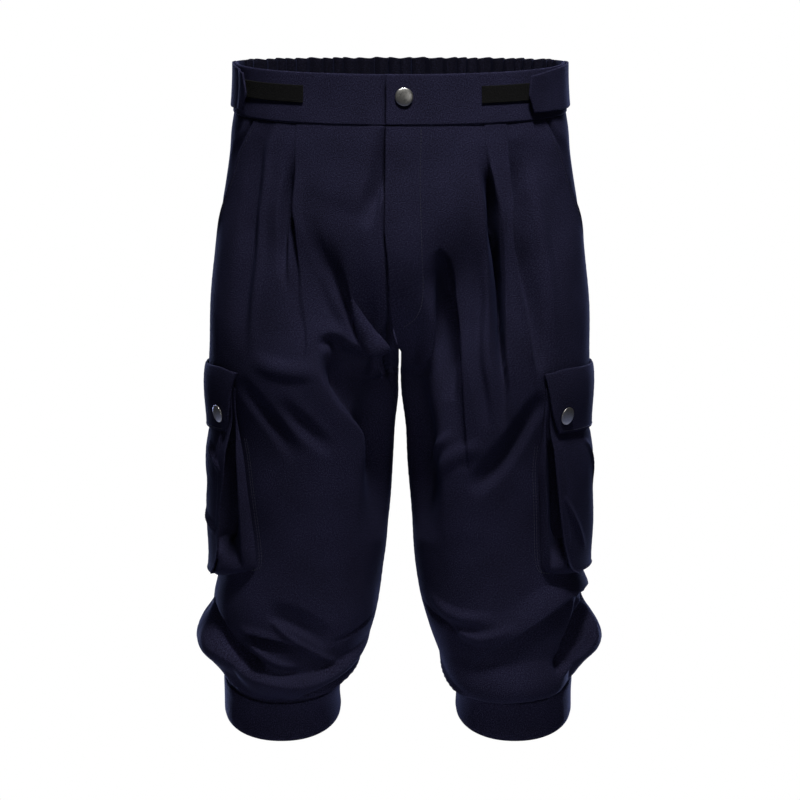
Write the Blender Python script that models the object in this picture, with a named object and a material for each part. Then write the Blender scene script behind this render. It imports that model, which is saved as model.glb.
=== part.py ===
"""Knee breeches in navy wool, filled out as if worn.

Each half of the garment is one leg tube that is open above the crotch. `form` gives its skin from
two short tables of levels, the fold and pleat tables raise and sink that skin, and every piece is a
thin wall, or a thing laid on the skin, worked out from it.

Lengths in the tables are millimetres, and `MM` turns them into metres once, when a mesh is made.
+Z is up, the front faces -Y, and the origin is the middle of the waist, where the wearer holds the
garment. Side -1 is the wearer's right leg (-X), and side +1 the left.

A place on one half is (angle, level). The angle is in degrees round the leg: 0 at the side seam,
+90 at mid front, +180 at the centre front or inseam, and negative towards the back. The level is
the height of a ring where it crosses the side seam.
"""

import math
from collections import namedtuple

import bmesh
import bpy
import numpy as np
from mathutils import Vector

MM = 0.001

CLOTH = 1.6  # wool shell cloth
DOUBLE_CLOTH = 2.8  # waistband, knee bands, tabs and flaps are two layers
SEAM_GAP = 0.3
ROUNDNESS = 2.15  # exponent of the rings: 2 is an ellipse

WAIST_TOP = 24.6
WAIST_SEAM = -23.9
CROTCH_START = -100.0
CROTCH = -280.0
CROTCH_POWER = 2.5
BAND_TOP = -586.0
HEM = -624.0

TorsoLevel = namedtuple("TorsoLevel", "level half_width front back tilt_front tilt_back")
TORSO = (
    TorsoLevel(30, 161.5, 106, 112, 0.125, 0.040),
    TorsoLevel(0, 162.0, 107, 113, 0.125, 0.040),
    TorsoLevel(-24, 164.0, 109, 116, 0.125, 0.040),
    TorsoLevel(-40, 166.5, 111, 120, 0.120, 0.040),
    TorsoLevel(-63, 168.3, 113, 124, 0.110, 0.035),
    TorsoLevel(-93, 172.5, 117, 132, 0.090, 0.025),
    TorsoLevel(-122, 177.5, 120, 140, 0.070, 0.020),
    TorsoLevel(-152, 182.0, 122, 147, 0.050, 0.010),
    TorsoLevel(-182, 185.5, 123, 152, 0.030, 0.005),
    TorsoLevel(-212, 188.0, 122, 154, 0.020, 0.000),
    TorsoLevel(-242, 190.0, 120, 152, 0.010, 0.000),
    TorsoLevel(-280, 191.0, 117, 146, 0.000, 0.000),
)

# inner and outer are distances from the centre plane, for the wearer's right and left leg
LegLevel = namedtuple("LegLevel", "level inner_right outer_right inner_left outer_left front back tilt")
LEG = (
    LegLevel(-100, 0.2, 180, 0.2, 180, 114, 122, 0.00),
    LegLevel(-250, 0.2, 190, 0.2, 189, 113, 124, 0.00),
    LegLevel(-280, 0.7, 190, 0.7, 189, 112, 122, 0.00),
    LegLevel(-302, 1.6, 187, 1.6, 186, 110, 118, 0.00),
    LegLevel(-332, 4.6, 181, 4.8, 180, 106, 113, 0.00),
    LegLevel(-363, 6.5, 179, 7.0, 178, 102, 107, 0.00),
    LegLevel(-393, 8.5, 178, 9.5, 177, 99, 101, 0.00),
    LegLevel(-423, 10.5, 178, 11.5, 177.5, 96, 96, 0.00),
    LegLevel(-454, 13.5, 179, 13.5, 178, 93, 91, 0.02),
    LegLevel(-484, 17.5, 183, 16.5, 181, 91, 86, 0.05),
    LegLevel(-505, 20.0, 187, 20.0, 184, 90, 82, 0.09),
    LegLevel(-525, 24.5, 186, 25.5, 183, 88, 79, 0.14),
    LegLevel(-545, 31.5, 182, 32.0, 180, 84, 75, 0.20),
    LegLevel(-566, 42.0, 178, 41.0, 176, 76, 69, 0.28),
    LegLevel(-586, 57.0, 176.5, 53.5, 172.5, 63, 61, 0.355),
    LegLevel(-640, 59.0, 175.5, 56.0, 171.5, 62, 60, 0.355),
)


def smooth(table, column, level):
    """One column of a table at any level, on a smooth curve through its rows."""
    levels = np.array([row.level for row in table], float)[::-1]
    values = np.array([getattr(row, column) for row in table], float)[::-1]
    slopes = np.gradient(values, levels)
    low = np.clip(np.searchsorted(levels, level) - 1, 0, len(levels) - 2)
    span = levels[low + 1] - levels[low]
    t = np.clip((level - levels[low]) / span, 0, 1)
    start = (1 + 2 * t) * (1 - t) ** 2 * values[low] + t * (1 - t) ** 2 * span * slopes[low]
    end = t**2 * (3 - 2 * t) * values[low + 1] + t**2 * (t - 1) * span * slopes[low + 1]
    return start + end


def squarish(value):
    return np.sign(value) * np.abs(value) ** (2 / ROUNDNESS)


def ease(t):
    t = np.clip(t, 0, 1)
    return t * t * (3 - 2 * t)


def crotch_mix(level, angle=180.0):
    """0 where a ring belongs to the torso, 1 where it is a closed leg.

    Between them the centre seam follows the crotch curve, and the front and side of the thigh an easy one."""
    t = np.clip((CROTCH_START - level) / (CROTCH_START - CROTCH), 0, 1)
    curve = 1 - (1 - t**CROTCH_POWER) ** (1 / CROTCH_POWER)
    near_seam = ease((np.abs(angle) - 125) / 50)
    return ease(t) * (1 - near_seam) + curve * near_seam


def form(side, angle, level):
    """Points of one half's skin without folds, as an array whose last axis is x, y, z."""
    angle, level = np.broadcast_arrays(np.asarray(angle, float), np.asarray(level, float))
    turn = 360 * np.sign(angle)
    past_centre = (np.abs(angle) > 180) & (level > CROTCH)
    angle = np.where(past_centre, turn - angle, np.where(np.abs(angle) > 180, angle - turn, angle))
    around = 0.5 - angle / 360
    to_front = angle > 0
    leg_side = "right" if side < 0 else "left"

    torso_depth = np.where(to_front, smooth(TORSO, "front", level), smooth(TORSO, "back", level))
    torso_x = smooth(TORSO, "half_width", level) * squarish(np.sin(math.pi * around))
    torso_y = -torso_depth * squarish(np.cos(math.pi * around))
    torso_tilt = np.where(to_front, smooth(TORSO, "tilt_front", level), smooth(TORSO, "tilt_back", level))

    inner = smooth(LEG, "inner_" + leg_side, level)
    outer = smooth(LEG, "outer_" + leg_side, level)
    leg_depth = np.where(to_front, smooth(LEG, "front", level), smooth(LEG, "back", level))
    leg_x = (inner + outer) / 2 - (outer - inner) / 2 * squarish(np.cos(2 * math.pi * around))
    leg_y = -leg_depth * squarish(np.sin(2 * math.pi * around))

    mix = crotch_mix(level, angle)
    x = (1 - mix) * torso_x + mix * leg_x
    y = (1 - mix) * torso_y + mix * leg_y
    z = level + (1 - mix) * torso_tilt * torso_y + mix * smooth(LEG, "tilt", level) * leg_y
    return np.stack([side * np.where(past_centre, -x, x), y, z], axis=-1)


def unit(vectors):
    return vectors / np.maximum(np.linalg.norm(vectors, axis=-1, keepdims=True), 1e-9)


def outward(side, angle, level):
    """Unit normals of the skin without folds."""
    across = form(side, angle - 1.5, level) - form(side, angle + 1.5, level)
    down = form(side, angle, level - 1.5) - form(side, angle, level + 1.5)
    return unit(np.cross(across, down)) * -side


def through(points, count=33):
    """A smooth line of `count` points through a few control points (Catmull-Rom)."""
    points = np.array(points, float)
    padded = np.vstack([2 * points[0] - points[1], points, 2 * points[-1] - points[-2]])
    at = np.linspace(0, len(points) - 1, count)
    i = np.minimum(at.astype(int), len(points) - 2)
    t = (at - i)[:, None]
    before, start, end, after = padded[i], padded[i + 1], padded[i + 2], padded[i + 3]
    return 0.5 * (
        2 * start
        + (end - before) * t
        + (2 * before - 5 * start + 4 * end - after) * t**2
        + (3 * start - before - 3 * end + after) * t**3
    )


def degree_arc(level):
    """mm of cloth round the front for each degree of angle, at a level."""
    half_leg = (smooth(LEG, "outer_right", level) - smooth(LEG, "inner_right", level)) / 2
    leg = math.pi / 180 * np.hypot(half_leg, smooth(LEG, "front", level)) / math.sqrt(2)
    torso = math.pi / 360 * np.hypot(smooth(TORSO, "half_width", level), smooth(TORSO, "front", level)) / math.sqrt(2)
    return torso + crotch_mix(level, 90.0) * (leg - torso)


# A fold is a ridge (height above 0) or a trough (below 0) along a path of (angle, level, height) points.
# `left` and `right` are its half widths to either hand of the path, on a map with the angle to the
# right and the level up; `sag` is how far it moves down, as a share of its height.
Fold = namedtuple("Fold", "path left right sag")

RIGHT_FOLDS = (
    # pleat fall, the soft ridge inside it, a second trough and the hollow beside the fly
    Fold(((109, -46, 0), (106, -75, -5), (108, -105, -8), (106, -142, -8), (103, -174, -7), (98, -204, -5), (96, -240, 0)), 12, 13, 0),
    Fold(((114, -62, 0), (116, -121, 3), (113, -170, 4), (108, -218, 3), (105, -248, 0)), 12, 12, 0),
    Fold(((126, -112, 0), (126, -140, -4), (124, -178, -5), (122, -210, -4), (126, -236, 0)), 13, 14, 0),
    Fold(((172, -24, 0), (166, -55, -3), (163, -94, -3), (161, -130, 0)), 12, 14, 0),
    # ridge where the front turns to the side
    Fold(((88, -30, 0), (80, -68, 4), (79, -107, 5), (74, -156, 5), (64, -204, 4), (58, -250, 0)), 26, 13, 0),
    # fold that hangs from the fork, the hollow of the inner thigh under it and the lit thigh beside that
    Fold(((170, -228, 0), (162, -243, 3), (148, -254, 5), (134, -257, 6), (121, -255, 6), (112, -249, 4), (104, -238, 0)), 12, 24, 0.2),
    Fold(((108, -258, 0), (116, -284, -7), (127, -313, -9), (140, -345, -7), (151, -374, 0)), 24, 13, 0),
    Fold(((104, -262, 0), (107, -292, 4), (115, -322, 5), (130, -355, 4), (140, -388, 0)), 13, 28, 0),
    # knee: the bulge over the band, its swag across the front and the troughs above it
    Fold(((-62, -543, 0), (-30, -542, 14), (0, -542, 21), (20, -547, 16), (42, -557, 0)), 34, 38, 0.15),
    Fold(((8, -548, 0), (33, -556, 9), (58, -566, 12), (82, -569, 12), (108, -567, 11), (132, -558, 8), (172, -546, 0)), 16, 18, 0.3),
    Fold(((2, -516, 0), (20, -527, -10), (42, -537, -11), (60, -545, -7), (78, -551, 0)), 14, 12, 0.1),
    Fold(((60, -522, 0), (76, -527, -5), (92, -533, -7), (106, -541, -6), (128, -552, 0)), 12, 12, 0),
    # back of the knee and the fall below the seat
    Fold(((-172, -538, 0), (-140, -546, 8), (-105, -552, 10), (-70, -551, 10), (-36, -543, 0)), 19, 22, 0.3),
    Fold(((-150, -512, 0), (-122, -522, -5), (-90, -527, -6), (-58, -526, 0)), 14, 14, 0),
    Fold(((-168, -268, 0), (-140, -290, 4), (-108, -302, 4), (-76, -298, 0)), 24, 20, 0.1),
)

LEFT_FOLDS = (
    # falls of the two pleats and the ridge between them
    Fold(((123, -44, 0), (122, -78, -7), (121, -112, -11), (118, -140, -12), (110, -170, -12), (100, -204, -11), (94, -233, -9), (92, -262, -5), (92, -300, 0)), 13, 15, 0),
    Fold(((105, -44, 0), (103, -80, -4), (104, -110, -5), (99, -154, -5), (88, -203, -4), (78, -245, 0)), 12, 16, 0),
    Fold(((117, -62, 0), (113, -92, 3), (107, -154, 3), (88, -218, 3), (80, -262, 2), (78, -300, 0)), 14, 14, 0),
    # hollow from the fly to the inner thigh, its outer edge, and a drag across the thigh
    Fold(((158, -152, 0), (154, -170, -6), (145, -192, -9), (132, -218, -10), (120, -250, -10), (116, -290, -8), (110, -322, -5), (104, -350, 0)), 24, 17, 0),
    Fold(((136, -176, 0), (129, -196, 4), (114, -235, 5), (106, -282, 5), (102, -316, 3), (97, -350, 0)), 16, 18, 0),
    Fold(((62, -300, 0), (70, -318, -4), (80, -345, -5), (92, -371, -4), (104, -392, 0)), 14, 14, 0),
    # knee: the edge of the upper cloth, the hollow under it, the roll at the side and the bulge over the band
    Fold(((-24, -506, 0), (4, -503, 6), (30, -505, 8), (60, -513, 8), (84, -526, 7), (106, -540, 5), (130, -558, 0)), 18, 13, 0.2),
    Fold(((-8, -518, 0), (14, -524, -8), (36, -530, -9), (60, -538, -7), (84, -547, -4), (106, -558, 0)), 13, 13, 0),
    Fold(((-66, -548, 0), (-35, -549, 16), (-8, -550, 23), (8, -553, 18), (26, -563, 8), (48, -571, 0)), 36, 32, 0.15),
    Fold(((160, -577, 0), (128, -571, 7), (100, -567, 10), (76, -566, 10), (50, -568, 7), (24, -562, 0)), 18, 22, 0.3),
    # back of the knee and the fall below the seat
    Fold(((-172, -536, 0), (-136, -546, 9), (-100, -552, 10), (-66, -549, 9), (-34, -545, 0)), 20, 22, 0.3),
    Fold(((-156, -514, 0), (-124, -524, -5), (-92, -530, -6), (-60, -528, 0)), 14, 14, 0),
    Fold(((-166, -272, 0), (-138, -292, 4), (-106, -300, 4), (-74, -294, 0)), 24, 20, 0.1),
)


def fold_move(side, angle, level):
    """(outward, downward) movement of the skin in mm that the folds of one half make."""
    out = np.zeros(angle.shape)
    down = np.zeros(angle.shape)
    for fold in RIGHT_FOLDS if side < 0 else LEFT_FOLDS:
        path = through(fold.path)
        arc = degree_arc(path[:, 1])
        heading = unit(np.gradient(path[:, :2], axis=0) * np.stack([arc, np.ones_like(arc)], axis=1))
        reach = max(fold.left, fold.right)
        near = (level > path[:, 1].min() - reach) & (level < path[:, 1].max() + reach)
        step_round = (angle[near][:, None] - path[:, 0]) * arc
        step_up = level[near][:, None] - path[:, 1]
        distance = np.hypot(step_round, step_up)
        nearest = np.argmin(distance, axis=1)
        pick = (np.arange(len(nearest)), nearest)
        hand = heading[nearest, 0] * step_up[pick] - heading[nearest, 1] * step_round[pick]
        share = np.minimum(distance[pick] / np.where(hand > 0, fold.left, fold.right), 1)
        rise = path[nearest, 2] * (1 - share**2) ** 2
        out[near] += rise
        down[near] += fold.sag * rise
    return out, down


# A pleat is a fold line in the front, stitched shut into the waistband. The cloth on its outer side
# lies `depth` lower, and climbs back over `recover` mm. The line opens into a soft fall as it goes down.
Pleat = namedtuple("Pleat", "line depth recover")
RIGHT_PLEATS = (
    Pleat(((110, -23), (110, -60), (109, -120), (106, -170), (100, -240), (100, -590)), 2.0, 22),
    Pleat(((91, -23), (88, -60), (84, -120), (76, -180), (66, -240), (66, -590)), 1.6, 20),
)
LEFT_PLEATS = (
    Pleat(((125, -23), (125, -60), (123, -110), (112, -170), (97, -240), (97, -590)), 2.0, 20),
    Pleat(((108, -23), (107, -60), (106, -110), (98, -170), (80, -240), (76, -590)), 2.0, 20),
)
PLEAT_END = -105.0


def pleats_of(side):
    return RIGHT_PLEATS if side < 0 else LEFT_PLEATS


def pleat_angle(pleat, level):
    angles, levels = zip(*reversed(pleat.line))
    return np.interp(level, levels, angles)


def pleat_step(level):
    """Width of a pleat's step: sharp at the waistband and soft where the pleat ends."""
    return 1.2 + 10 * ease((WAIST_SEAM - level) / (WAIST_SEAM - PLEAT_END))


def pleat_move(side, angle, level):
    out = np.zeros(angle.shape)
    for pleat in pleats_of(side):
        beyond = (pleat_angle(pleat, level) - angle) * degree_arc(level)
        step = ease(beyond / pleat_step(level) + 0.5)
        shut = ease((level - PLEAT_END) / 50)
        out -= shut * pleat.depth * step * np.exp(-np.maximum(beyond, 0) / pleat.recover)
    return out


# The left front laps over the right one along the fly, down to the end of the opening.
FLY_EDGE = (
    (24.6, 188),
    (-129, 188),
    (-165, 186),
    (-202, 185.5),
    (-225, 184.5),
    (-240, 182.6),
    (-258, 179.9),
    (-600, 179.9),
)
FLY_END = -236.0
UNDERLAP = 8.0  # degrees that the lower front runs on under the upper one
SEAM = 0.15  # degrees between a panel's edge and its seam line


def inseam(level):
    """Angle of a panel's edge at the inseam, further off the seam line at the fork."""
    return 180 - SEAM - 0.4 * np.exp(-(((level - CROTCH) / 30) ** 2))


def fly_angle(side, level):
    """Angle of a front panel's centre edge."""
    levels, angles = zip(*reversed(FLY_EDGE))
    edge = np.interp(level, levels, angles)
    edge = np.where(edge < 180, inseam(level), edge)
    return edge if side > 0 else np.where(edge > 180, 359.7 - edge + UNDERLAP * ease((level + 203) / 30), edge)


def fly_move(side, angle, level, rise=0.9, sink=1.3):
    """Steps the two fronts apart where they lap."""
    lapped = ease((level - FLY_END) / 22)
    if side > 0:
        return rise * lapped * ease((angle - 168) / 10)
    return -sink * lapped * ease((angle - 158) / 12)


# The slanted mouth of the hip pocket: the front's outer edge, in front of a facing.
POCKET_MOUTH = ((-24, 63), (-59, 45), (-93, 33), (-122, 20), (-150, 6), (-164, 0), (-600, 0))
MOUTH_GAPE = 2.6
FACING_SINK = 2.9
FACING_UNDERLAP = 8.0
FACING_END = -180.0


def mouth_angle(level):
    levels, angles = zip(*reversed(POCKET_MOUTH))
    return np.interp(level, levels, angles)


def gape(angle, level):
    open_here = ease((-34 - level) / 30) * ease((level + 158) / 40)
    return MOUTH_GAPE * open_here * np.exp(-np.abs(angle - mouth_angle(level)) / 9)


# Gathers of the elastic waistband: wave length in degrees and height of the waves.
GATHER_WAVE = 11.0
GATHER_HEIGHT = 1.2
GATHER_START = -26.0


def gathers(angle):
    strength = ease((GATHER_START - angle) / 20)
    turns = 2 * math.pi * angle / GATHER_WAVE + 1.3 * np.sin(angle / 23)
    return GATHER_HEIGHT * strength * (np.sin(turns) + 0.4 * np.sin(0.37 * turns + 1.1))


def skin(side, angle, level, off=0.0):
    """Points of the cloth's outer face, folds and pleats included, moved out by `off` mm."""
    angle, level, off = (a.astype(float) for a in np.broadcast_arrays(angle, level, off))
    out, down = fold_move(side, angle, level)
    front = angle > 0
    out = out + np.where(front, pleat_move(side, angle, level) + fly_move(side, angle, level), 0)
    out = out + np.where(front, gape(angle, level), 0)
    points = form(side, angle, level) + outward(side, angle, level) * (out + off)[..., None]
    points[..., 2] -= down
    return points


def skin_normal(side, angle, level, off=0.0):
    across = skin(side, angle - 1, level, off) - skin(side, angle + 1, level, off)
    down = skin(side, angle, level - 1.5, off) - skin(side, angle, level + 1.5, off)
    return unit(np.cross(across, down)) * -side


def material(name, colour, roughness, metallic=0.0):
    made = bpy.data.materials.new(name)
    made.use_nodes = True
    shader = made.node_tree.nodes["Principled BSDF"]
    shader.inputs["Base Color"].default_value = (*colour, 1)
    shader.inputs["Roughness"].default_value = roughness
    shader.inputs["Metallic"].default_value = metallic
    made.diffuse_color = (*colour, 1)
    return made


def add_object(name, points, faces, finish):
    """A mesh object from points in mm, with every face turned outwards."""
    mesh = bpy.data.meshes.new(name)
    mesh.from_pydata([Vector(p) * MM for p in points], [], faces)
    work = bmesh.new()
    work.from_mesh(mesh)
    bmesh.ops.recalc_face_normals(work, faces=work.faces)
    work.to_mesh(mesh)
    work.free()
    mesh.materials.append(finish)
    mesh.shade_smooth()
    mesh.set_sharp_from_angle(angle=math.radians(40))
    made = bpy.data.objects.new(name, mesh)
    bpy.context.scene.collection.objects.link(made)
    return made


def wall(name, outer, thick, finish, side, normal=None, ring=False):
    """A cloth wall: a grid of outer points (rows, columns, xyz) and the same grid moved inwards.

    Without a `normal` at each point, it is worked out from the grid; `ring` joins the last column to the first."""
    if normal is None:
        if ring:
            wrapped = np.concatenate([outer[:, -1:], outer, outer[:, :1]], axis=1)
            across = np.gradient(wrapped, axis=1)[:, 1:-1]
        else:
            across = np.gradient(outer, axis=1)
        normal = unit(np.cross(across, np.gradient(outer, axis=0))) * -side
    inner = outer - thick * normal
    rows, columns = outer.shape[:2]
    points = np.concatenate([outer.reshape(-1, 3), inner.reshape(-1, 3)])

    def at(row, column, layer):
        return layer * rows * columns + row * columns + column % columns

    faces = []
    cells = columns if ring else columns - 1
    for layer in (0, 1):
        for row in range(rows - 1):
            for c in range(cells):
                quad = (at(row, c, layer), at(row + 1, c, layer), at(row + 1, c + 1, layer), at(row, c + 1, layer))
                faces.append(quad if layer == 0 else quad[::-1])
    for c in range(cells):
        for row in (0, rows - 1):
            faces.append((at(row, c, 0), at(row, c + 1, 0), at(row, c + 1, 1), at(row, c, 1)))
    if not ring:
        for row in range(rows - 1):
            for c in (0, columns - 1):
                faces.append((at(row, c, 0), at(row + 1, c, 0), at(row + 1, c, 1), at(row, c, 1)))
    return add_object(name, points, faces, finish)


def spread(start, end, cells):
    """Shares from start to end for `cells` cells, without the last one."""
    return [start + (end - start) * i / cells for i in range(cells)]


KNEE_START = -458.0


def panel_levels():
    """Ring levels of a leg panel: sparse on the thigh, close round the fork and at the knee."""
    top = WAIST_SEAM - SEAM_GAP
    levels = spread(top, CROTCH_START, 4)
    fork_rings = 10
    for i in range(fork_rings):
        share = i / fork_rings
        rise = 0.55 * share + 0.45 * math.sin(math.pi / 2 * share) ** (2 / CROTCH_POWER)
        levels.append(CROTCH_START + (CROTCH - CROTCH_START) * rise)
    levels += spread(CROTCH, KNEE_START, 6)
    return np.array(levels + spread(KNEE_START, BAND_TOP, 13) + [BAND_TOP + 2 * SEAM_GAP])


def front_panel(name, side, finish):
    levels = panel_levels()
    first, second = pleats_of(side)
    half_step = pleat_step(levels) / 2 / degree_arc(levels)
    guides = [fly_angle(side, levels)]
    for pleat in (first, second):
        line = pleat_angle(pleat, levels)
        guides += [line + half_step, line - half_step]
    guides.append(np.maximum(mouth_angle(levels), SEAM))
    cells = (8, 1, 2, 1, 7)
    columns = []
    for start, end, count in zip(guides[:-1], guides[1:], cells):
        columns += spread(start, end, count)
    angles = np.stack(columns + [guides[-1]], axis=1)
    rows = np.broadcast_to(levels[:, None], angles.shape)
    return wall(name, skin(side, angles, rows), CLOTH, finish, side, skin_normal(side, angles, rows))


def back_panel(name, side, finish):
    levels = panel_levels()
    share = np.linspace(0, 1, 13)
    angles = -SEAM * (1 - share) - inseam(levels)[:, None] * share
    rows = np.broadcast_to(levels[:, None], angles.shape)
    return wall(name, skin(side, angles, rows), CLOTH, finish, side, skin_normal(side, angles, rows))


def hip_facing(name, side, finish):
    levels = np.linspace(WAIST_SEAM - SEAM_GAP, FACING_END, 7)
    mouth = mouth_angle(levels)
    share = np.linspace(0, 1, 6)
    angles = (mouth + FACING_UNDERLAP)[:, None] * (1 - share) + SEAM * share
    sink = -FACING_SINK * (1 - np.clip((mouth[:, None] - angles) / 25, 0, 1))
    still = form(side, angles, levels[:, None]) + outward(side, angles, levels[:, None]) * sink[..., None]
    return wall(name, still, CLOTH, finish, side)


# Waistband: two fronts that lap at the fly and an elastic back, joined behind the side tabs.
BAND_PROUD = 1.2
BAND_JOINT = -12.0


def band_skin(side, angle, level, off=BAND_PROUD):
    """Points on the waistband's outer face, on the form without folds."""
    angle, level, off = (a.astype(float) for a in np.broadcast_arrays(angle, level, off))
    off = off + np.where(angle > 0, fly_move(side, angle, level, rise=1.0, sink=2.3), 0)
    off = off + np.where(angle < 0, gathers(angle), 0)
    return form(side, angle, level) + outward(side, angle, level) * off[..., None]


def band_levels():
    return np.linspace(WAIST_TOP, WAIST_SEAM, 3)[:, None]


def waistband_front(name, side, finish):
    centre = float(fly_angle(side, WAIST_TOP))
    angles = np.linspace(centre, BAND_JOINT, 17)[None, :]
    return wall(name, band_skin(side, angles, band_levels()), DOUBLE_CLOTH, finish, side)


def waistband_back(name, finish):
    angles = np.linspace(BAND_JOINT - 0.3, -180, 62)[None, :]
    right = band_skin(-1, angles, band_levels())
    left = band_skin(1, angles, band_levels())
    outer = np.concatenate([right, left[:, -2::-1]], axis=1)
    return wall(name, outer, DOUBLE_CLOTH, finish, -1)


# Loop tape on each front waistband and the tab that closes on it.
TAPE = {"top": 13.0, "bottom": -6.0, "thick": 1.3, "right": (114, 44), "left": (126, 62)}
TAB = {"thick": 2.4, "right_tip": 53, "left_tip": 85, "end": -24, "tip_lift": 2.4}
TabStation = namedtuple("TabStation", "share top bottom")
TAB_SHAPE = (TabStation(0, 19, -9), TabStation(0.3, 22.5, -15), TabStation(0.6, 24, -19), TabStation(1, 24, -20))
TAB_TIP_BACK = ((0, 5), (0.3, 0), (0.6, 3), (1, 12))  # share down the tip, degrees behind its point


def loop_tape(name, side, finish):
    start, end = TAPE["right" if side < 0 else "left"]
    angles = np.linspace(start, end, 8)[None, :]
    levels = np.linspace(TAPE["top"], TAPE["bottom"], 2)[:, None]
    off = BAND_PROUD + SEAM_GAP + TAPE["thick"]
    return wall(name, band_skin(side, angles, levels, off), TAPE["thick"], finish, side)


def side_tab(name, side, finish):
    tip = TAB["right_tip" if side < 0 else "left_tip"]
    down = np.linspace(0, 1, 5)[:, None]
    along = np.linspace(0, 1, 10)[None, :]
    start = tip - np.interp(down, *zip(*TAB_TIP_BACK))
    angles = start + (TAB["end"] - start) * along
    shares, tops, bottoms = zip(*TAB_SHAPE)
    top = np.interp(along, shares, tops)
    levels = top + (np.interp(along, shares, bottoms) - top) * down
    clear = BAND_PROUD + TAPE["thick"] + 2 * SEAM_GAP + 0.2 + TAB["thick"]
    off = clear + TAB["tip_lift"] * ease(1 - along / 0.3) + GATHER_HEIGHT * ease((along - 0.6) / 0.4)
    return wall(name, band_skin(side, angles, levels, off), TAB["thick"], finish, side)


# Cargo pocket: stations round its U, from the front top down, along the bottom and up the back.
# seam_* lies on the leg, face_* is the edge of the pocket's face, `proud` its height off the leg.
Station = namedtuple("Station", "seam_angle seam_level face_angle face_level proud")
RIGHT_POCKET = (
    Station(47, -290, 42.5, -290, 4.6),
    Station(45.5, -322, 41.5, -322, 5.6),
    Station(47, -340, 41.0, -338, 9.8),
    Station(50, -362, 42.0, -360, 14.5),
    Station(52.5, -389, 41.0, -387, 15.5),
    Station(55, -415, 38.0, -413, 15.5),
    Station(58, -439, 36.0, -438, 14.5),
    Station(59.5, -462, 31.0, -462, 12.5),
    Station(46, -475, 24.0, -480, 11.0),
    Station(10, -485, 2.0, -480, 10.5),
    Station(-16, -488, -14.0, -480, 10.5),
    Station(-38, -489, -28.0, -480, 10.5),
    Station(-62, -484, -46.0, -480, 10.5),
    Station(-66, -460, -50.0, -460, 12.2),
    Station(-64, -400, -53.0, -400, 15.5),
    Station(-62, -362, -53.0, -362, 14.5),
    Station(-60, -333, -53.0, -333, 9.0),
    Station(-60, -290, -53.0, -290, 4.6),
)
LEFT_POCKET = (
    Station(62, -290, 57.0, -290, 4.6),
    Station(61, -322, 56.5, -322, 5.8),
    Station(61.5, -346, 56.0, -344, 11.2),
    Station(63, -371, 56.0, -369, 14.5),
    Station(62.5, -401, 55.5, -399, 15.5),
    Station(62.5, -430, 53.3, -429, 15.0),
    Station(62.4, -450, 50.5, -448, 13.8),
    Station(60.5, -467, 46.0, -465, 12.0),
    Station(46, -478, 36.0, -475, 11.0),
    Station(20, -480, 14.0, -475, 10.5),
    Station(-4, -481, -4.0, -475, 10.5),
    Station(-26, -481, -18.0, -475, 10.5),
    Station(-46, -478, -31.0, -475, 10.5),
    Station(-50, -456, -34.0, -456, 12.8),
    Station(-48, -400, -37.0, -400, 15.5),
    Station(-46, -362, -37.0, -362, 13.5),
    Station(-44, -333, -37.0, -333, 9.0),
    Station(-44, -290, -37.0, -290, 4.6),
)
BOTTOM_STATIONS = (8, 12)  # the first and last station along the bottom
FACE_TOP = -294.0
# share from the leg seam to the face's edge, and height off the leg as a share of the way up to it
BELLOWS = ((0, 0), (0.3, 0.34), (0.55, 0.14), (0.78, 0.5), (1, 1))


def pocket_stations(side):
    return np.array(RIGHT_POCKET if side < 0 else LEFT_POCKET)


def cargo_gusset(name, side, finish):
    """The bellows strip: it rises off the leg seam, dips into a valley and climbs under the face."""
    stations = through(pocket_stations(side), 35)
    shares, heights = (np.array(column)[None, :] for column in zip(*BELLOWS))
    seam_angle, seam_level, face_angle, face_level, proud = (stations[:, i : i + 1] for i in range(5))
    middle = stations[:, 2].mean()
    tucked = face_angle + np.clip((middle - face_angle) / 20, -1, 1) * 1.4
    angles = seam_angle + (tucked - seam_angle) * shares
    levels = seam_level + (face_level + 1.0 - seam_level) * shares
    on_leg = CLOTH + 3 * SEAM_GAP
    under_face = np.maximum(proud - CLOTH - 8.0 * SEAM_GAP, on_leg + 0.1)
    off = on_leg + (under_face - on_leg) * heights
    return wall(name, skin(side, angles, levels, off), CLOTH, finish, side)


def face_edges(side, level):
    """(front angle, back angle, height off the leg) of the pocket's face at a level."""
    stations = pocket_stations(side)
    last_front, first_back = BOTTOM_STATIONS
    front = through(stations[: last_front + 1])[::-1]
    back = through(stations[first_back:])
    return (
        np.interp(level, front[:, 3], front[:, 2]),
        np.interp(level, back[:, 3], back[:, 2]),
        np.interp(level, front[:, 3], front[:, 4]),
    )


def cargo_face(name, side, finish):
    bottom = pocket_stations(side)[BOTTOM_STATIONS[0]][3]
    levels = np.array(spread(FACE_TOP, -336, 2) + spread(-336, -368, 4) + spread(-368, bottom, 5) + [bottom])
    front, back, proud = face_edges(side, levels)
    share = np.linspace(0, 1, 9)[None, :]
    angles = front[:, None] + (back - front)[:, None] * share
    return wall(name, skin(side, angles, levels[:, None], proud[:, None]), CLOTH, finish, side)


# Flap: levels down it with its height off the leg, and how far it reaches past the face's edges.
FlapLevel = namedtuple("FlapLevel", "level proud front_right front_left")
FLAP = (
    FlapLevel(-272, 3.6, 51.0, 64.0),
    FlapLevel(-279, 5.8, 49.5, 63.0),
    FlapLevel(-290, 8.0, 47.2, 61.5),
    FlapLevel(-308, 10.0, 44.8, 59.2),
    FlapLevel(-326, 12.0, 42.0, 55.5),
    FlapLevel(-334, 13.0, 40.5, 53.3),
)
FLAP_BACK = {-1: -57.0, 1: -41.0}
FLAP_SNAP = {"level": -316.0, "inset": 9.0}


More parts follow.
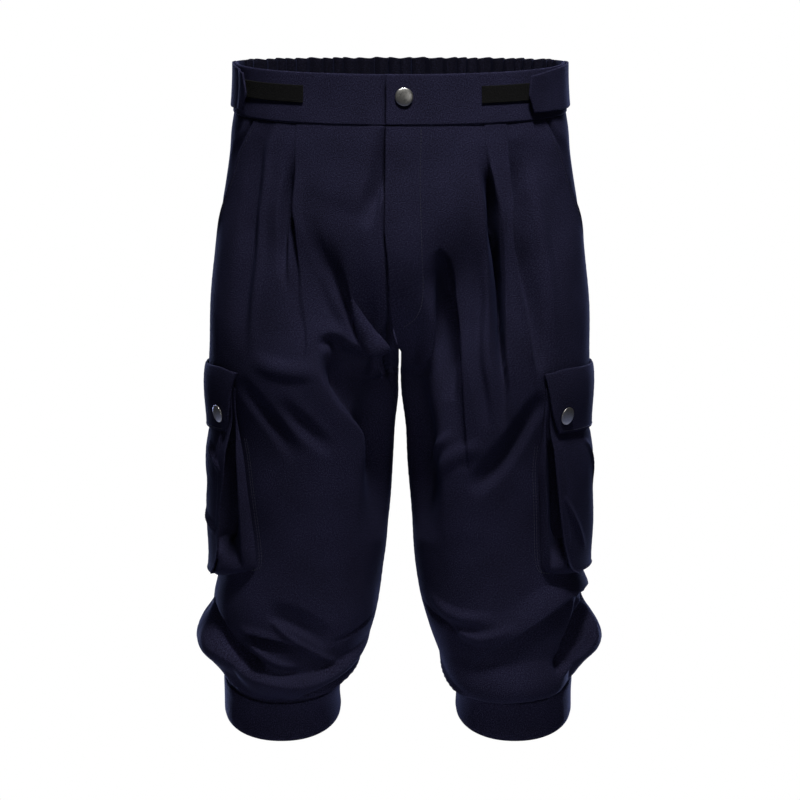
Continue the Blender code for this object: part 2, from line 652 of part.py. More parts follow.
def cargo_flap(name, side, finish):
    table = np.array(FLAP)
    front = table[:, 2 if side < 0 else 3][:, None]
    back = FLAP_BACK[side] + (table[:, 2:3] - 43.5) * -0.6
    angles = front + (back - front) * np.linspace(0, 1, 9)[None, :]
    return wall(name, skin(side, angles, table[:, :1], table[:, 1:2]), DOUBLE_CLOTH, finish, side)


def knee_band(name, side, finish):
    levels = np.array([BAND_TOP, BAND_TOP - 5, HEM + 5, HEM])[:, None]
    proud = np.array([0.2, 1.2, 1.2, 0.2])[:, None]
    angles = np.linspace(180, -180, 29)[None, :-1]
    outer = form(side, angles, levels) + outward(side, angles, levels) * proud[..., None]
    return wall(name, outer, DOUBLE_CLOTH, finish, side, ring=True)


SNAP_RADIUS = 8.8
# radius and height of each ring of a snap's cap, from its foot up
SNAP_RINGS = ((0.86, 0.0), (1.0, 0.9), (0.9, 2.0), (0.5, 2.7))
SNAP_SIDES = 18


def snap_cap(name, base, axis, finish):
    """A domed metal cap turned about `axis`, its foot a seam gap off the cloth at `base`."""
    turn = Vector(axis).to_track_quat("Z", "Y")
    points = []
    for radius, height in SNAP_RINGS:
        for i in range(SNAP_SIDES):
            around = 2 * math.pi * i / SNAP_SIDES
            r = radius * SNAP_RADIUS
            local = Vector((r * math.cos(around), r * math.sin(around), height + SEAM_GAP))
            points.append(Vector(base) + turn @ local)
    faces = [tuple(range(SNAP_SIDES))[::-1]]
    for ring in range(len(SNAP_RINGS) - 1):
        for i in range(SNAP_SIDES):
            j = (i + 1) % SNAP_SIDES
            low, high = ring * SNAP_SIDES, (ring + 1) * SNAP_SIDES
            faces.append((low + i, low + j, high + j, high + i))
    faces.append(tuple((len(SNAP_RINGS) - 1) * SNAP_SIDES + i for i in range(SNAP_SIDES)))
    return add_object(name, points, faces, finish)


def flap_off(level):
    table = np.array(FLAP)[::-1]
    return float(np.interp(level, table[:, 0], table[:, 1]))


def place_on(surface, side, angle, level, off):
    """A point and its outward normal on a surface function, at one place."""
    around = np.array([[angle + 3, angle - 3]]), np.array([[level]])
    upright = np.array([[angle]]), np.array([[level + 4], [level - 4]])
    across = surface(side, *around, off)
    down = surface(side, *upright, off)
    axis = np.cross(across[0, 1] - across[0, 0], down[1, 0] - down[0, 0]) * -side
    # a flat cap rests on the highest of the cloth round it
    bulge = 0.25
    normal = unit(axis)
    return surface(side, np.array([[angle]]), np.array([[level]]), off)[0, 0] + normal * bulge, normal


BUTTON = {"angle": 178.0, "level": 3.0}


def build():
    for old in list(bpy.data.objects):
        bpy.data.objects.remove(old)
    wool = material("navy_wool", (0.010, 0.012, 0.030), 0.85)
    band_wool = material("navy_wool_band", (0.011, 0.013, 0.031), 0.85)
    loop = material("black_loop_tape", (0.004, 0.004, 0.004), 0.95)
    nickel = material("satin_nickel", (0.66, 0.66, 0.64), 0.32, 1.0)
    for side, label in ((-1, "right"), (1, "left")):
        front_panel(f"front_{label}", side, wool)
        back_panel(f"back_{label}", side, wool)
        hip_facing(f"hip_facing_{label}", side, wool)
        waistband_front(f"waistband_front_{label}", side, band_wool)
        loop_tape(f"loop_tape_{label}", side, loop)
        side_tab(f"side_tab_{label}", side, band_wool)
        cargo_gusset(f"cargo_gusset_{label}", side, wool)
        cargo_face(f"cargo_face_{label}", side, wool)
        cargo_flap(f"cargo_flap_{label}", side, wool)
        knee_band(f"knee_band_{label}", side, band_wool)
        front_edge = float(np.interp(-FLAP_SNAP["level"], [-row.level for row in FLAP], [row[2 if side < 0 else 3] for row in FLAP]))
        places = {"front": front_edge - FLAP_SNAP["inset"], "back": FLAP_BACK[side] + FLAP_SNAP["inset"]}
        for end, angle in places.items():
            base, axis = place_on(skin, side, angle, FLAP_SNAP["level"], flap_off(FLAP_SNAP["level"]))
            snap_cap(f"flap_snap_{label}_{end}", base, axis, nickel)
    waistband_back("waistband_back", band_wool)
    base, axis = place_on(band_skin, 1, BUTTON["angle"], BUTTON["level"], BAND_PROUD)
    snap_cap("waist_snap", base, axis, nickel)


if __name__ == "__main__":
    build()
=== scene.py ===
import math

import bpy
import numpy as np
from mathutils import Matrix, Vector


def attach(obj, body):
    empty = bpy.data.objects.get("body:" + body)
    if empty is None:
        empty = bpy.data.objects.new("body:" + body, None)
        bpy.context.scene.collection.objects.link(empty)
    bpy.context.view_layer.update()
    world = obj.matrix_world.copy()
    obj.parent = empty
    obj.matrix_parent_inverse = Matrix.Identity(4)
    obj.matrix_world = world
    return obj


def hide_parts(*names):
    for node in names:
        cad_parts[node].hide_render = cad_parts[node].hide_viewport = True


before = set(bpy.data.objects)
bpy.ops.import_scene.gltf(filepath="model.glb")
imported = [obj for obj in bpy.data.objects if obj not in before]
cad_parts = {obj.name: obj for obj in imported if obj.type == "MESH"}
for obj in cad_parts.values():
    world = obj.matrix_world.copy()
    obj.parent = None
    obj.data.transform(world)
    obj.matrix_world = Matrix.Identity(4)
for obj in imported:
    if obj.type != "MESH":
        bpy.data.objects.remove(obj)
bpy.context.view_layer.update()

# Knee breeches in navy wool, filled out as if worn. Lengths are millimetres, and become metres when
# a mesh is made. Side -1 is the wearer's right leg (-X), side +1 the left, and the front faces -Y.
# A place on one half is (angle, level): 0 degrees at the side seam, +90 at mid front, +180 at the
# centre front or inseam, negative towards the back. The level is a ring's height at the side seam.
mm = 0.001
sides = ((-1, "right"), (1, "left"))
columnEnd = {-1: "Right", 1: "Left"}  # how a table's column for one side ends

garment = {
    "cloth": 1.6,  # one layer of wool
    "doubleCloth": 2.8,  # waistband, knee bands and flaps are two layers
    "gap": 0.3,  # between a piece and the one it lies on
    "roundness": 2.15,  # exponent of the rings: 2 is an ellipse
    "waistTop": 24.6,
    "waistSeam": -23.9,
    "forkStart": -100.0,
    "fork": -280.0,
    "forkPower": 2.5,  # higher parts the two legs later, and more steeply
    "forkZone": (125, 175),  # degrees where that parting takes over from a soft one
    "bandTop": -586.0,
    "hem": -624.0,
}

torso = {
    "level": (30, 0, -24, -40, -63, -93, -122, -152, -182, -212, -242, -280),
    "halfWidth": (161.5, 162, 164, 166.5, 168.3, 172.5, 177.5, 182, 185.5, 188, 190, 191),
    "front": (106, 107, 109, 111, 113, 117, 120, 122, 123, 122, 120, 117),
    "back": (112, 113, 116, 120, 124, 132, 140, 147, 152, 154, 152, 146),
    "tiltFront": (0.125, 0.125, 0.125, 0.12, 0.11, 0.09, 0.07, 0.05, 0.03, 0.02, 0.01, 0),
    "tiltBack": (0.04, 0.04, 0.04, 0.04, 0.035, 0.025, 0.02, 0.01, 0.005, 0, 0, 0),
}

leg = {  # inner and outer are distances from the centre plane
    "level": (-100, -250, -280, -302, -332, -363, -393, -423, -454, -484, -505, -525, -545, -566, -586, -640),
    "innerRight": (0.2, 0.2, 0.6, 1.2, 4.6, 6.5, 8.5, 10.5, 13.5, 17.5, 20, 24.5, 31.5, 42, 57, 59),
    "outerRight": (180, 190, 190, 187, 181, 179, 178, 178, 179, 183, 187, 186, 182, 178, 176.5, 175.5),
    "innerLeft": (0.2, 0.2, 0.6, 1.2, 4.8, 7, 9.5, 11.5, 13.5, 16.5, 20, 25.5, 32, 41, 53.5, 56),
    "outerLeft": (180, 189, 189, 186, 180, 178, 177, 177.5, 178, 181, 184, 183, 180, 176, 172.5, 171.5),
    "front": (114, 113, 112, 110, 106, 102, 99, 96, 93, 91, 90, 88, 84, 76, 63, 62),
    "back": (122, 124, 122, 118, 113, 107, 101, 96, 91, 86, 82, 79, 75, 69, 61, 60),
    "tilt": (0, 0, 0, 0, 0, 0, 0, 0, 0.02, 0.05, 0.09, 0.14, 0.20, 0.28, 0.355, 0.355),
}


def smoothColumn(table, name, level):  # one column at any level, on a smooth curve through its rows
    levels = np.array(table["level"][::-1], float)
    values = np.array(table[name][::-1], float)
    slopes = np.gradient(values, levels)
    low = np.clip(np.searchsorted(levels, level) - 1, 0, len(levels) - 2)
    span = levels[low + 1] - levels[low]
    t = np.clip((level - levels[low]) / span, 0, 1)
    start = (1 + 2 * t) * (1 - t) ** 2 * values[low] + t * (1 - t) ** 2 * span * slopes[low]
    end = t**2 * (3 - 2 * t) * values[low + 1] + t**2 * (t - 1) * span * slopes[low + 1]
    return start + end


def squarish(value):
    return np.sign(value) * np.abs(value) ** (2 / garment["roundness"])


def ease(t):
    t = np.clip(t, 0, 1)
    return t * t * (3 - 2 * t)


def ramp(value, start, end):  # 0 at the start and 1 at the end, soft at both
    return ease((value - start) / (end - start))


def unit(vectors):
    return vectors / np.maximum(np.linalg.norm(vectors, axis=-1, keepdims=True), 1e-9)


def legShare(level, angle=180.0):  # 0 where a ring belongs to the torso, 1 where it is a closed leg
    t = np.clip((garment["forkStart"] - level) / (garment["forkStart"] - garment["fork"]), 0, 1)
    power = garment["forkPower"]
    curve = 1 - (1 - t**power) ** (1 / power)
    nearSeam = ramp(np.abs(angle), *garment["forkZone"])
    return ease(t) * (1 - nearSeam) + curve * nearSeam


def form(side, angle, level):  # the skin of one half without folds
    angle, level = np.broadcast_arrays(np.asarray(angle, float), np.asarray(level, float))
    turn = 360 * np.sign(angle)
    pastCentre = (np.abs(angle) > 180) & (level > garment["fork"])
    angle = np.where(pastCentre, turn - angle, np.where(np.abs(angle) > 180, angle - turn, angle))
    around = 0.5 - angle / 360
    toFront = angle > 0

    torsoDepth = np.where(toFront, smoothColumn(torso, "front", level), smoothColumn(torso, "back", level))
    torsoX = smoothColumn(torso, "halfWidth", level) * squarish(np.sin(math.pi * around))
    torsoY = -torsoDepth * squarish(np.cos(math.pi * around))
    tilt = np.where(toFront, smoothColumn(torso, "tiltFront", level), smoothColumn(torso, "tiltBack", level))

    inner = smoothColumn(leg, "inner" + columnEnd[side], level)
    outer = smoothColumn(leg, "outer" + columnEnd[side], level)
    legDepth = np.where(toFront, smoothColumn(leg, "front", level), smoothColumn(leg, "back", level))
    legX = (inner + outer) / 2 - (outer - inner) / 2 * squarish(np.cos(2 * math.pi * around))
    legY = -legDepth * squarish(np.sin(2 * math.pi * around))

    mix = legShare(level, angle)
    x = (1 - mix) * torsoX + mix * legX
    y = (1 - mix) * torsoY + mix * legY
    z = level + (1 - mix) * tilt * torsoY + mix * smoothColumn(leg, "tilt", level) * legY
    return np.stack([side * np.where(pastCentre, -x, x), y, z], axis=-1)


def outward(side, angle, level, step=1.5):  # the form's normal, read a step to either side
    across = form(side, angle - step, level) - form(side, angle + step, level)
    down = form(side, angle, level - step) - form(side, angle, level + step)
    return unit(np.cross(across, down)) * -side


def raised(side, angle, level, height):  # the form moved out by a height
    return form(side, angle, level) + outward(side, angle, level) * height[..., None]


def through(points, count=33):  # a smooth line through a few control points
    points = np.array(points, float)
    padded = np.vstack([2 * points[0] - points[1], points, 2 * points[-1] - points[-2]])
    at = np.linspace(0, len(points) - 1, count)
    i = np.minimum(at.astype(int), len(points) - 2)
    t = (at - i)[:, None]
    before, start, end, after = padded[i], padded[i + 1], padded[i + 2], padded[i + 3]
    curve = 2 * start + (end - before) * t + (2 * before - 5 * start + 4 * end - after) * t**2
    return 0.5 * (curve + (3 * start - before - 3 * end + after) * t**3)


def degreeArc(level):  # mm of cloth round the front for each degree
    halfLeg = (smoothColumn(leg, "outerRight", level) - smoothColumn(leg, "innerRight", level)) / 2
    legArc = math.pi / 180 * np.hypot(halfLeg, smoothColumn(leg, "front", level)) / math.sqrt(2)
    halfTorso = np.hypot(smoothColumn(torso, "halfWidth", level), smoothColumn(torso, "front", level))
    torsoArc = math.pi / 360 * halfTorso / math.sqrt(2)
    return torsoArc + legShare(level, 90.0) * (legArc - torsoArc)


# Creases. A fold is a ridge (height above 0) or a trough along (angle, level, height)
# points. The two reaches are its half widths: the first is to the left of the path on a map with the
# angle to the right and the level up. Sag moves it down by a share of its height, crisp narrows its crest.
# Drop makes the path the edge of a lap: the cloth to its right lies at drop times the height.
def fold(path, leftReach, rightReach, sag=0.0, crisp=0.0, drop=1.0, edge=2.0):
    return {
        "path": path,
        "left": leftReach,
        "right": rightReach,
        "sag": sag,
        "crisp": crisp,
        "drop": drop,
        "edge": edge,
    }


rightFolds = (
    # the pleat opens into a deep fall; outside it the ridge where the front turns to the side
    fold(
        (
            (109, -44, 0), (109, -62, 0.25), (109.5, -84, 1.2), (110, -110, 1.9), (111, -134, 1.2),
            (106, -173, 0.6), (99, -204, 0.5), (96, -234, 0.4), (92, -264, 0),
        ),
        12, 15, drop=-5, edge=2.4,
    ),
    fold(
        ((89, -28, 0), (80, -55, 2.5), (80, -103, 4), (76, -155, 4.4), (65, -205, 3.6), (58, -255, 0)),
        15, 34, drop=-1.1, edge=14,
    ),
    # a second trough, the hollow beside the fly and the shallow dent between them
    fold(
        (
            (121, -112, 0), (124, -140, -1.4), (124, -165, -1.2), (123, -190, 2), (122, -212, 4),
            (124, -240, 3), (126, -262, 0),
        ),
        12, 12,
    ),
    fold(
        (
            (106, -54, 0), (105, -72, -1.4), (103.5, -94, -8), (103, -121, -13), (100.5, -144, -10),
            (96, -169, -5), (92, -196, 0),
        ),
        5, 8,
    ),
    fold(
        ((174, -28, 0), (173, -46, -4), (171, -70, -7), (167, -94, -8), (164, -112, -4), (161, -128, 0)),
        6, 13,
    ),
    fold(((112, -90, 0), (128, -104, -1.2), (146, -112, -1.2), (160, -120, 0)), 18, 34),
    # fold that hangs from the fork, and the hollow under it with the lit thigh beside that
    fold(
        (
            (100, -246, 0), (108, -240, 1.6), (115, -242, 3), (121, -252, 4), (134, -258, 4.4),
            (152, -256, 4), (164, -244, 2.6), (174, -226, 0),
        ),
        22, 60, drop=-4.2, edge=8,
    ),
    fold(
        (
            (140, -384, 0), (135, -354, 2.2), (131, -335, 3), (121, -318, 3.6), (112, -302, 3.6),
            (104, -279, 3), (102, -254, 0),
        ),
        32, 50, drop=-5.2, edge=12,
    ),
    fold(
        (
            (140, -268, 0), (146, -300, -10), (149, -340, -16), (150, -380, -13), (151, -416, -6),
            (151, -446, 0),
        ),
        32, 38,
    ),
    fold(
        (
            (147, -112, 0), (147, -140, 3), (146, -172, 8), (145, -205, 13), (144, -232, 18),
            (143, -252, 20), (142, -268, 10), (141, -283, 0),
        ),
        32, 28,
    ),
    fold(
        (
            (176, -210, 0), (174.5, -228, -6), (173, -244, -15), (171, -262, -22), (169, -280, -20),
            (167, -310, 0),
        ),
        5, 8,
    ),
    # faint drags across the thigh
    fold(((50, -282, 0), (64, -308, -4.0), (76, -334, -5), (88, -362, 0)), 14, 12),
    fold(((76, -300, 0), (86, -320, -4), (96, -338, -4), (108, -354, 0)), 13, 11),
    fold(((60, -262, 0), (74, -270, 3), (88, -274, 3), (100, -272, 0)), 14, 12),
    # the roll at the side of the knee and its swag across the front
    fold(
        ((-62, -542, 0), (-30, -541, 15), (0, -540, 22), (18, -545, 19), (34, -552, 9), (46, -558, 0)),
        30, 38, 0.12,
    ),
    fold(
        (
            (12, -530, 0), (26, -538, 7), (42, -546, 10), (60, -555, 12), (80, -559, 13),
            (98, -560, 13), (114, -557, 12), (134, -552, 9), (156, -546, 4), (172, -542, 0),
        ),
        6, 24, 0.16, 0.25,
    ),
    # the slot above it, and the sharp edge of the upper cloth with a hollow under it
    fold(
        (
            (8, -509, 0), (20, -518, -20), (30, -526, -27), (40, -534, -27), (50, -541, -23),
            (60, -547, -14), (72, -552, 0),
        ),
        7, 8,
    ),
    fold(((54, -528, 0), (62, -534, 4), (72, -541, 5.5), (84, -547, 5), (98, -549, 0)), 5, 5, 0, 0.4),
    fold(
        ((50, -523, 0), (58, -525, 2.4), (68, -526, 3.4), (79, -528, 3), (90, -531, 1.4), (100, -534, 0)),
        8, 11, drop=-3.6, edge=2,
    ),
    fold(
        ((92, -535, 0), (100, -540, 1.6), (112, -545, 1.8), (124, -550, 0.8), (130, -552, 0)),
        6, 8, drop=-1, edge=1.6,
    ),
    fold(
        (
            (76, -512, 0), (80, -516, 3), (86, -522, 4.5), (94, -530, 4.5), (104, -537, 3.6),
            (118, -546, 2.4), (126, -550, 0),
        ),
        4, 3, 0, 0.7,
    ),
    fold(
        ((72, -506, 0), (80, -508, -4), (89, -513, -6), (98, -519, -6), (108, -527, -4), (118, -535, 0)),
        16, 7,
    ),
    # low trough over the band with a lip under it, and the knee dart
    fold(
        (
            (100, -574, 0), (108, -571, -10), (122, -565, -15), (140, -561, -14), (156, -559, -8),
            (170, -553, 0),
        ),
        6, 6,
    ),
    fold(((104, -580, 0), (116, -576, 4), (136, -571, 5), (158, -567, 4), (174, -561, 0)), 4, 5, 0, 0.4),
    fold(((174, -515, 0), (154, -522, -2.6), (136, -527, -2.6), (116, -532, 0)), 3, 3),
    # back of the knee and the fall below the seat
    fold(((-172, -538, 0), (-140, -546, 8), (-105, -552, 10), (-70, -551, 10), (-36, -543, 0)), 19, 22, 0.3),
    fold(((-150, -512, 0), (-122, -522, -9), (-90, -527, -12), (-58, -526, -8), (-34, -520, 0)), 12, 12),
    fold(((-128, -500, 0), (-104, -508, 4), (-78, -512, 5), (-52, -508, 0)), 10, 8, 0, 0.3),
    fold(((-168, -268, 0), (-140, -290, 4), (-108, -302, 4), (-76, -298, 0)), 24, 20, 0.1),
    fold(((-172, -300, 0), (-150, -318, -7), (-124, -330, -8), (-96, -330, 0)), 18, 24),
    fold(((-40, -186, 0), (-62, -214, 3), (-84, -236, 4), (-110, -250, 0)), 20, 16),
)

leftFolds = (
    # the inner pleat's deep fall, a lesser trough beside it, and the outer pleat's soft fall
    fold(
        (
            (84, -330, 0), (86, -278, 1), (92.5, -228, 2.2), (100.5, -192, 2.7), (108.5, -163, 2.8),
            (115.5, -133, 2.8), (118.5, -95, 2), (121.5, -66, 0.4), (123.5, -44, 0),
        ),
        10, 14, drop=-10.5, edge=2,
    ),
    fold(
        (
            (126, -150, 0), (121, -176, -2.5), (112, -205, -4.5), (105, -240, -5), (98, -291, -4.5),
            (94, -332, 0),
        ),
        11, 8,
    ),
    fold(
        (
            (120, -90, 0), (116, -130, -6), (108, -165, -9), (100, -196, -11), (93.5, -226, -11),
            (90, -252, -8), (87, -290, 0),
        ),
        5, 5,
    ),
    fold(
        (
            (101, -60, 0), (100, -100, -5), (99, -140, -7), (89, -175, -7), (77, -211, -6),
            (70, -247, -4), (66, -280, 0),
        ),
        5, 14,
    ),
    fold(
        (
            (106, -40, 0), (104.5, -77, 1), (104, -134, 2), (93, -173, 2.3), (81, -211, 2),
            (73, -247, 1.2), (68, -275, 0),
        ),
        9, 30, drop=-5.6, edge=3,
    ),
    fold(((84, -60, 0), (86, -100, 2), (78, -150, 3), (66, -205, 2.5), (58, -250, 0)), 12, 16),
    # crisp edge of the thigh, with the hollow that runs from the belly down to the inner thigh
    fold(
        (
            (106, -372, 0), (108, -338, 0.9), (109, -310, 1.8), (110, -279, 2.4), (114, -248, 2.8),
            (120, -226, 2.9), (129, -203, 2.8), (142, -177, 1.8), (150, -160, 0.8), (158, -149, 0),
        ),
        28, 50, drop=-5.6, edge=3,
    ),
    fold(
        (
            (152, -262, 0), (150, -300, -12), (149, -340, -17), (149, -380, -15), (150, -416, -7),
            (150, -446, 0),
        ),
        33, 40,
    ),
    fold(
        (
            (152, -172, 0), (141, -194, -6), (131, -222, -13), (125, -248, -15), (121, -275, -10),
            (119, -305, 0),
        ),
        14, 8,
    ),
    fold(
        ((160, -160, 0), (160, -190, 3), (160, -212, 7), (159, -235, 12), (158, -256, 15), (156, -276, 0)),
        19, 17,
    ),
    # drags across the thigh
    fold(((62, -296, 0), (70, -318, -6), (80, -345, -9), (92, -371, -8), (106, -394, 0)), 16, 13),
    fold(((118, -336, 0), (126, -343, 3.5), (138, -357, 4.4), (156, -376, 0)), 7, 9, 0, 0.3),
    fold(((94, -346, 0), (108, -352, 3), (120, -362, 3.4), (134, -380, 0)), 12, 12),
    # knee: the edge of the upper cloth over a hollow, the roll at the side and the bulge over the band
    fold(
        (
            (-30, -500, 0), (-8, -498, 5), (14, -496, 7), (30, -497, 7.5), (48, -501, 7.5),
            (66, -512, 7), (86, -526, 6.4), (101, -537, 5), (122, -553, 0),
        ),
        26, 18, drop=-0.4, edge=1.6,
    ),
    fold(
        (
            (-4, -500, -4), (8, -509, -20), (18, -520, -34), (26, -532, -38), (36, -542, -28),
            (46, -550, -13), (56, -557, 0),
        ),
        10, 12,
    ),
    fold(((20, -504, 0), (30, -518, -9), (38, -532, -9), (48, -546, 0)), 10, 16),
    fold(
        ((-66, -547, 0), (-35, -548, 17), (-8, -548, 25), (6, -550, 22), (18, -557, 11), (30, -566, 0)),
        38, 34, 0.1,
    ),
    fold(
        ((2, -512, 0), (8, -526, 5), (15, -541, 6.5), (26, -553, 6), (40, -558, 4), (54, -560, 0)),
        5, 6, 0, 0.4,
    ),
    fold(
        ((166, -575, 0), (134, -573, 7), (104, -569, 12), (76, -568, 12), (50, -570, 9), (28, -566, 0)),
        16, 26, 0.3,
    ),
    fold(((168, -506, 0), (155, -513, -4), (138, -519, -5), (122, -525, 0)), 4, 4),
    fold(((128, -522, 0), (120, -524, 4.5), (108, -526, 5), (94, -521, 3), (82, -515, 0)), 8, 6, 0, 0.3),
    fold(((150, -498, 0), (132, -508, 4), (112, -511, 4), (92, -509, 0)), 9, 9),
    fold(((176, -562, 0), (160, -567, 4), (140, -573, 4), (122, -578, 0)), 4, 5, 0, 0.3),
    # back of the knee and the fall below the seat
    fold(((-172, -536, 0), (-136, -546, 9), (-100, -552, 10), (-66, -549, 9), (-34, -545, 0)), 20, 22, 0.3),
    fold(((-156, -514, 0), (-124, -524, -9), (-92, -530, -12), (-60, -528, -8), (-36, -522, 0)), 12, 12),
    fold(((-134, -498, 0), (-110, -507, 4), (-84, -512, 5), (-56, -510, 0)), 10, 8, 0, 0.3),
    fold(((-166, -272, 0), (-138, -292, 4), (-106, -300, 4), (-74, -294, 0)), 24, 20, 0.1),
    fold(((-170, -304, 0), (-148, -320, -7), (-122, -332, -8), (-94, -334, 0)), 18, 24),
    fold(((-38, -190, 0), (-60, -216, 3), (-86, -240, 4), (-112, -256, 0)), 20, 16),
)


def foldMove(folds, angle, level):  # (outward, downward) movement of the skin in mm
    out = np.zeros(angle.shape)
    down = np.zeros(angle.shape)
    for crease in folds:
        path = through(crease["path"], 49)
        arc = degreeArc(path[:, 1])
        steps = np.gradient(path, axis=0)
        heading = np.stack([steps[:, 0] * arc, steps[:, 1]], axis=1)
        stride = np.linalg.norm(heading, axis=1)
        heading /= stride[:, None]
        reach = max(crease["left"], crease["right"])
        near = (level > path[:, 1].min() - reach) & (level < path[:, 1].max() + reach)
        near &= (angle > path[:, 0].min() - reach) & (angle < path[:, 0].max() + reach)
        stepRound = (angle[near][:, None] - path[:, 0]) * arc
        stepUp = level[near][:, None] - path[:, 1]
        nearest = np.argmin(stepRound**2 + stepUp**2, axis=1)
        pick = (np.arange(len(nearest)), nearest)
        along = heading[nearest, 0] * stepRound[pick] + heading[nearest, 1] * stepUp[pick]
        hand = heading[nearest, 0] * stepUp[pick] - heading[nearest, 1] * stepRound[pick]
        pastEnd = ((nearest == 0) & (along < 0)) | ((nearest == len(path) - 1) & (along > 0))
        distance = np.where(pastEnd, np.hypot(along, hand), np.abs(hand))
        share = np.minimum(distance / np.where(hand > 0, crease["left"], crease["right"]), 1)
        height = path[nearest, 2] + np.where(pastEnd, 0, along / stride[nearest] * steps[nearest, 2])
        bell = (1 - crease["crisp"]) * (1 - share**2) ** 2 + crease["crisp"] * (1 - share) ** 2
        bell *= crease["drop"] + (1 - crease["drop"]) * ease(hand / crease["edge"] + 0.5)
        out[near] += height * bell
        down[near] += crease["sag"] * height * bell
    return out, down


# A pleat is a fold line in the front, stitched shut into the waistband. The cloth on its low side (1 is
# towards the centre front) lies `depth` lower and climbs back over `recover` mm. Further down the line
# follows the fold that the pleat opens into.
pleats = {
    -1: (
        {
            "line": (
                (108, -23), (109, -60), (112, -86), (114, -121), (110, -160), (102, -204), (96, -240),
                (92, -270), (90, -590),
            ),
            "depth": 0.7,
            "low": -1,
        },
        {
            "line": (
                (90, -23), (84, -45), (80, -60), (80, -103), (76, -155), (65, -205), (60, -250),
                (58, -590),
            ),
            "depth": 0.4,
            "low": -1,
        },
    ),
    1: (
        {
            "line": (
                (156, -23), (156, -150), (142, -177), (129, -203), (120, -226), (114, -248),
                (110, -279), (108, -321), (108, -590),
            ),
            "depth": 0,
            "low": 1,
        },
        {
            "line": (
                (124, -23), (124, -50), (120, -78), (116, -126), (104, -180), (92, -225), (90, -278),
                (90, -334), (88, -590),
            ),
            "depth": 0.8,
            "low": 1,
        },
        {
            "line": (
                (106, -23), (106, -50), (104, -77), (106, -99), (98, -164), (86, -204), (77, -233),
                (68, -266), (62, -590),
            ),
            "depth": 0.8,
            "low": -1,
        },
    ),
}
pleatSewing = {
    "end": -105.0,
    "fade": 50.0,  # mm above the end in which the step comes to nothing
    "recover": 16.0,
    "width": 0.9,
    "widening": 2.4,
}


def alongLine(line, level):  # a line of (angle, level) points read at a level
    angles, levels = zip(*reversed(line))
    return np.interp(level, levels, angles)


def pleatStep(level):  # width of the step, sharp at the waistband and soft where the pleat ends
    opened = ramp(level, garment["waistSeam"], pleatSewing["end"])
    return pleatSewing["width"] + pleatSewing["widening"] * opened


def pleatMove(side, angle, level):
    out = np.zeros(angle.shape)
    for pleat in pleats[side]:
        beyond = pleat["low"] * (angle - alongLine(pleat["line"], level)) * degreeArc(level)
        step = ease(beyond / pleatStep(level) + 0.5)
        shut = ramp(level, pleatSewing["end"], pleatSewing["end"] + pleatSewing["fade"])
        out -= shut * pleat["depth"] * step * np.exp(-np.maximum(beyond, 0) / pleatSewing["recover"])
    return out


fly = {  # the left front laps over the right one, down to the end of the opening
    "edge": (
        (188, 24.6), (188, -129), (186, -165), (185.5, -202), (184.5, -225), (182.6, -240), (179.9, -258),
        (179.9, -600),
    ),
    "end": -252.0,
    "fade": 14.0,  # mm above the end in which the two fronts come level
    "rise": 1.4,  # how far the upper front stands proud, from the first of these angles to the second
    "riseZone": (174, 182),
    "underlap": 8.0,  # degrees that the lower front runs on under the upper one
    "underlapStart": (-240, -222),  # levels
    "sink": 1.6,  # the lower front dips beside the edge, and drops into a dark slot right at it
    "sinkZone": (-11, -2),  # degrees from the edge
    "slot": 3.4,
    "slotZone": (-2.6, 0),
    "clear": 0.3,  # degrees between the two edges
    "slotSide": 7.0,  # degrees before the edge, where the finer columns of the slot end
    "seam": 0.04,  # degrees between a panel's edge and its seam line
    "seamWander": 0.4,  # how far the inseam swings to the front at the fork
    "wanderReach": 30.0,
}


def lapLine(level, before):  # the upper front's edge as an angle of the right half, less some degrees
    return 360 - before - alongLine(fly["edge"], level)


def inseam(level):
    nearFork = np.exp(-(((level - garment["fork"]) / fly["wanderReach"]) ** 2))
    return 180 - fly["seam"] - fly["seamWander"] * nearFork


def flyAngle(side, level):
    edge = alongLine(fly["edge"], level)
    edge = np.where(edge < 180, inseam(level), edge)
    lower = 360 - fly["clear"] - edge + fly["underlap"] * ramp(level, *fly["underlapStart"])
    return edge if side > 0 else np.where(edge > 180, lower, edge)


def flyMove(side, angle, level):  # steps the two fronts apart where they lap
    lapped = ramp(level, fly["end"], fly["end"] + fly["fade"])
    if side > 0:
        return fly["rise"] * lapped * ramp(angle, *fly["riseZone"])
    past = angle - lapLine(level, fly["clear"])
    sunk = fly["sink"] * ramp(past, *fly["sinkZone"]) + fly["slot"] * ramp(past, *fly["slotZone"])
    return -lapped * sunk


hipPocket = {
    "mouth": ((63, -24), (45, -59), (33, -93), (20, -122), (6, -150), (0, -164), (0, -600)),
    "mouthEnd": -160,  # the side seam goes on below it
    "gape": 2.6,
    "gapeWidth": 9.0,
    "gapeTop": (-34, -64),  # levels from shut to open, at both ends of the mouth
    "gapeBottom": (-158, -118),
    "facingSink": 2.9,
    "facingUnder": 8.0,  # degrees that the facing runs on under the front
    "facingRise": (6.0, 25.0),  # degrees in which it climbs back to the side, at the waist and below it
    "facingRiseLevels": (-32, -62),
    "facingEnd": -180.0,
    "facingStep": 5.0,
    "facingColumns": 26,
    "facingBack": 0.15,  # degrees from the side seam
}


def mouthAngle(level):
    return alongLine(hipPocket["mouth"], level)


def gape(angle, level):
    openHere = ramp(level, *hipPocket["gapeTop"]) * ramp(level, *hipPocket["gapeBottom"])
    return hipPocket["gape"] * openHere * np.exp(-np.abs(angle - mouthAngle(level)) / hipPocket["gapeWidth"])


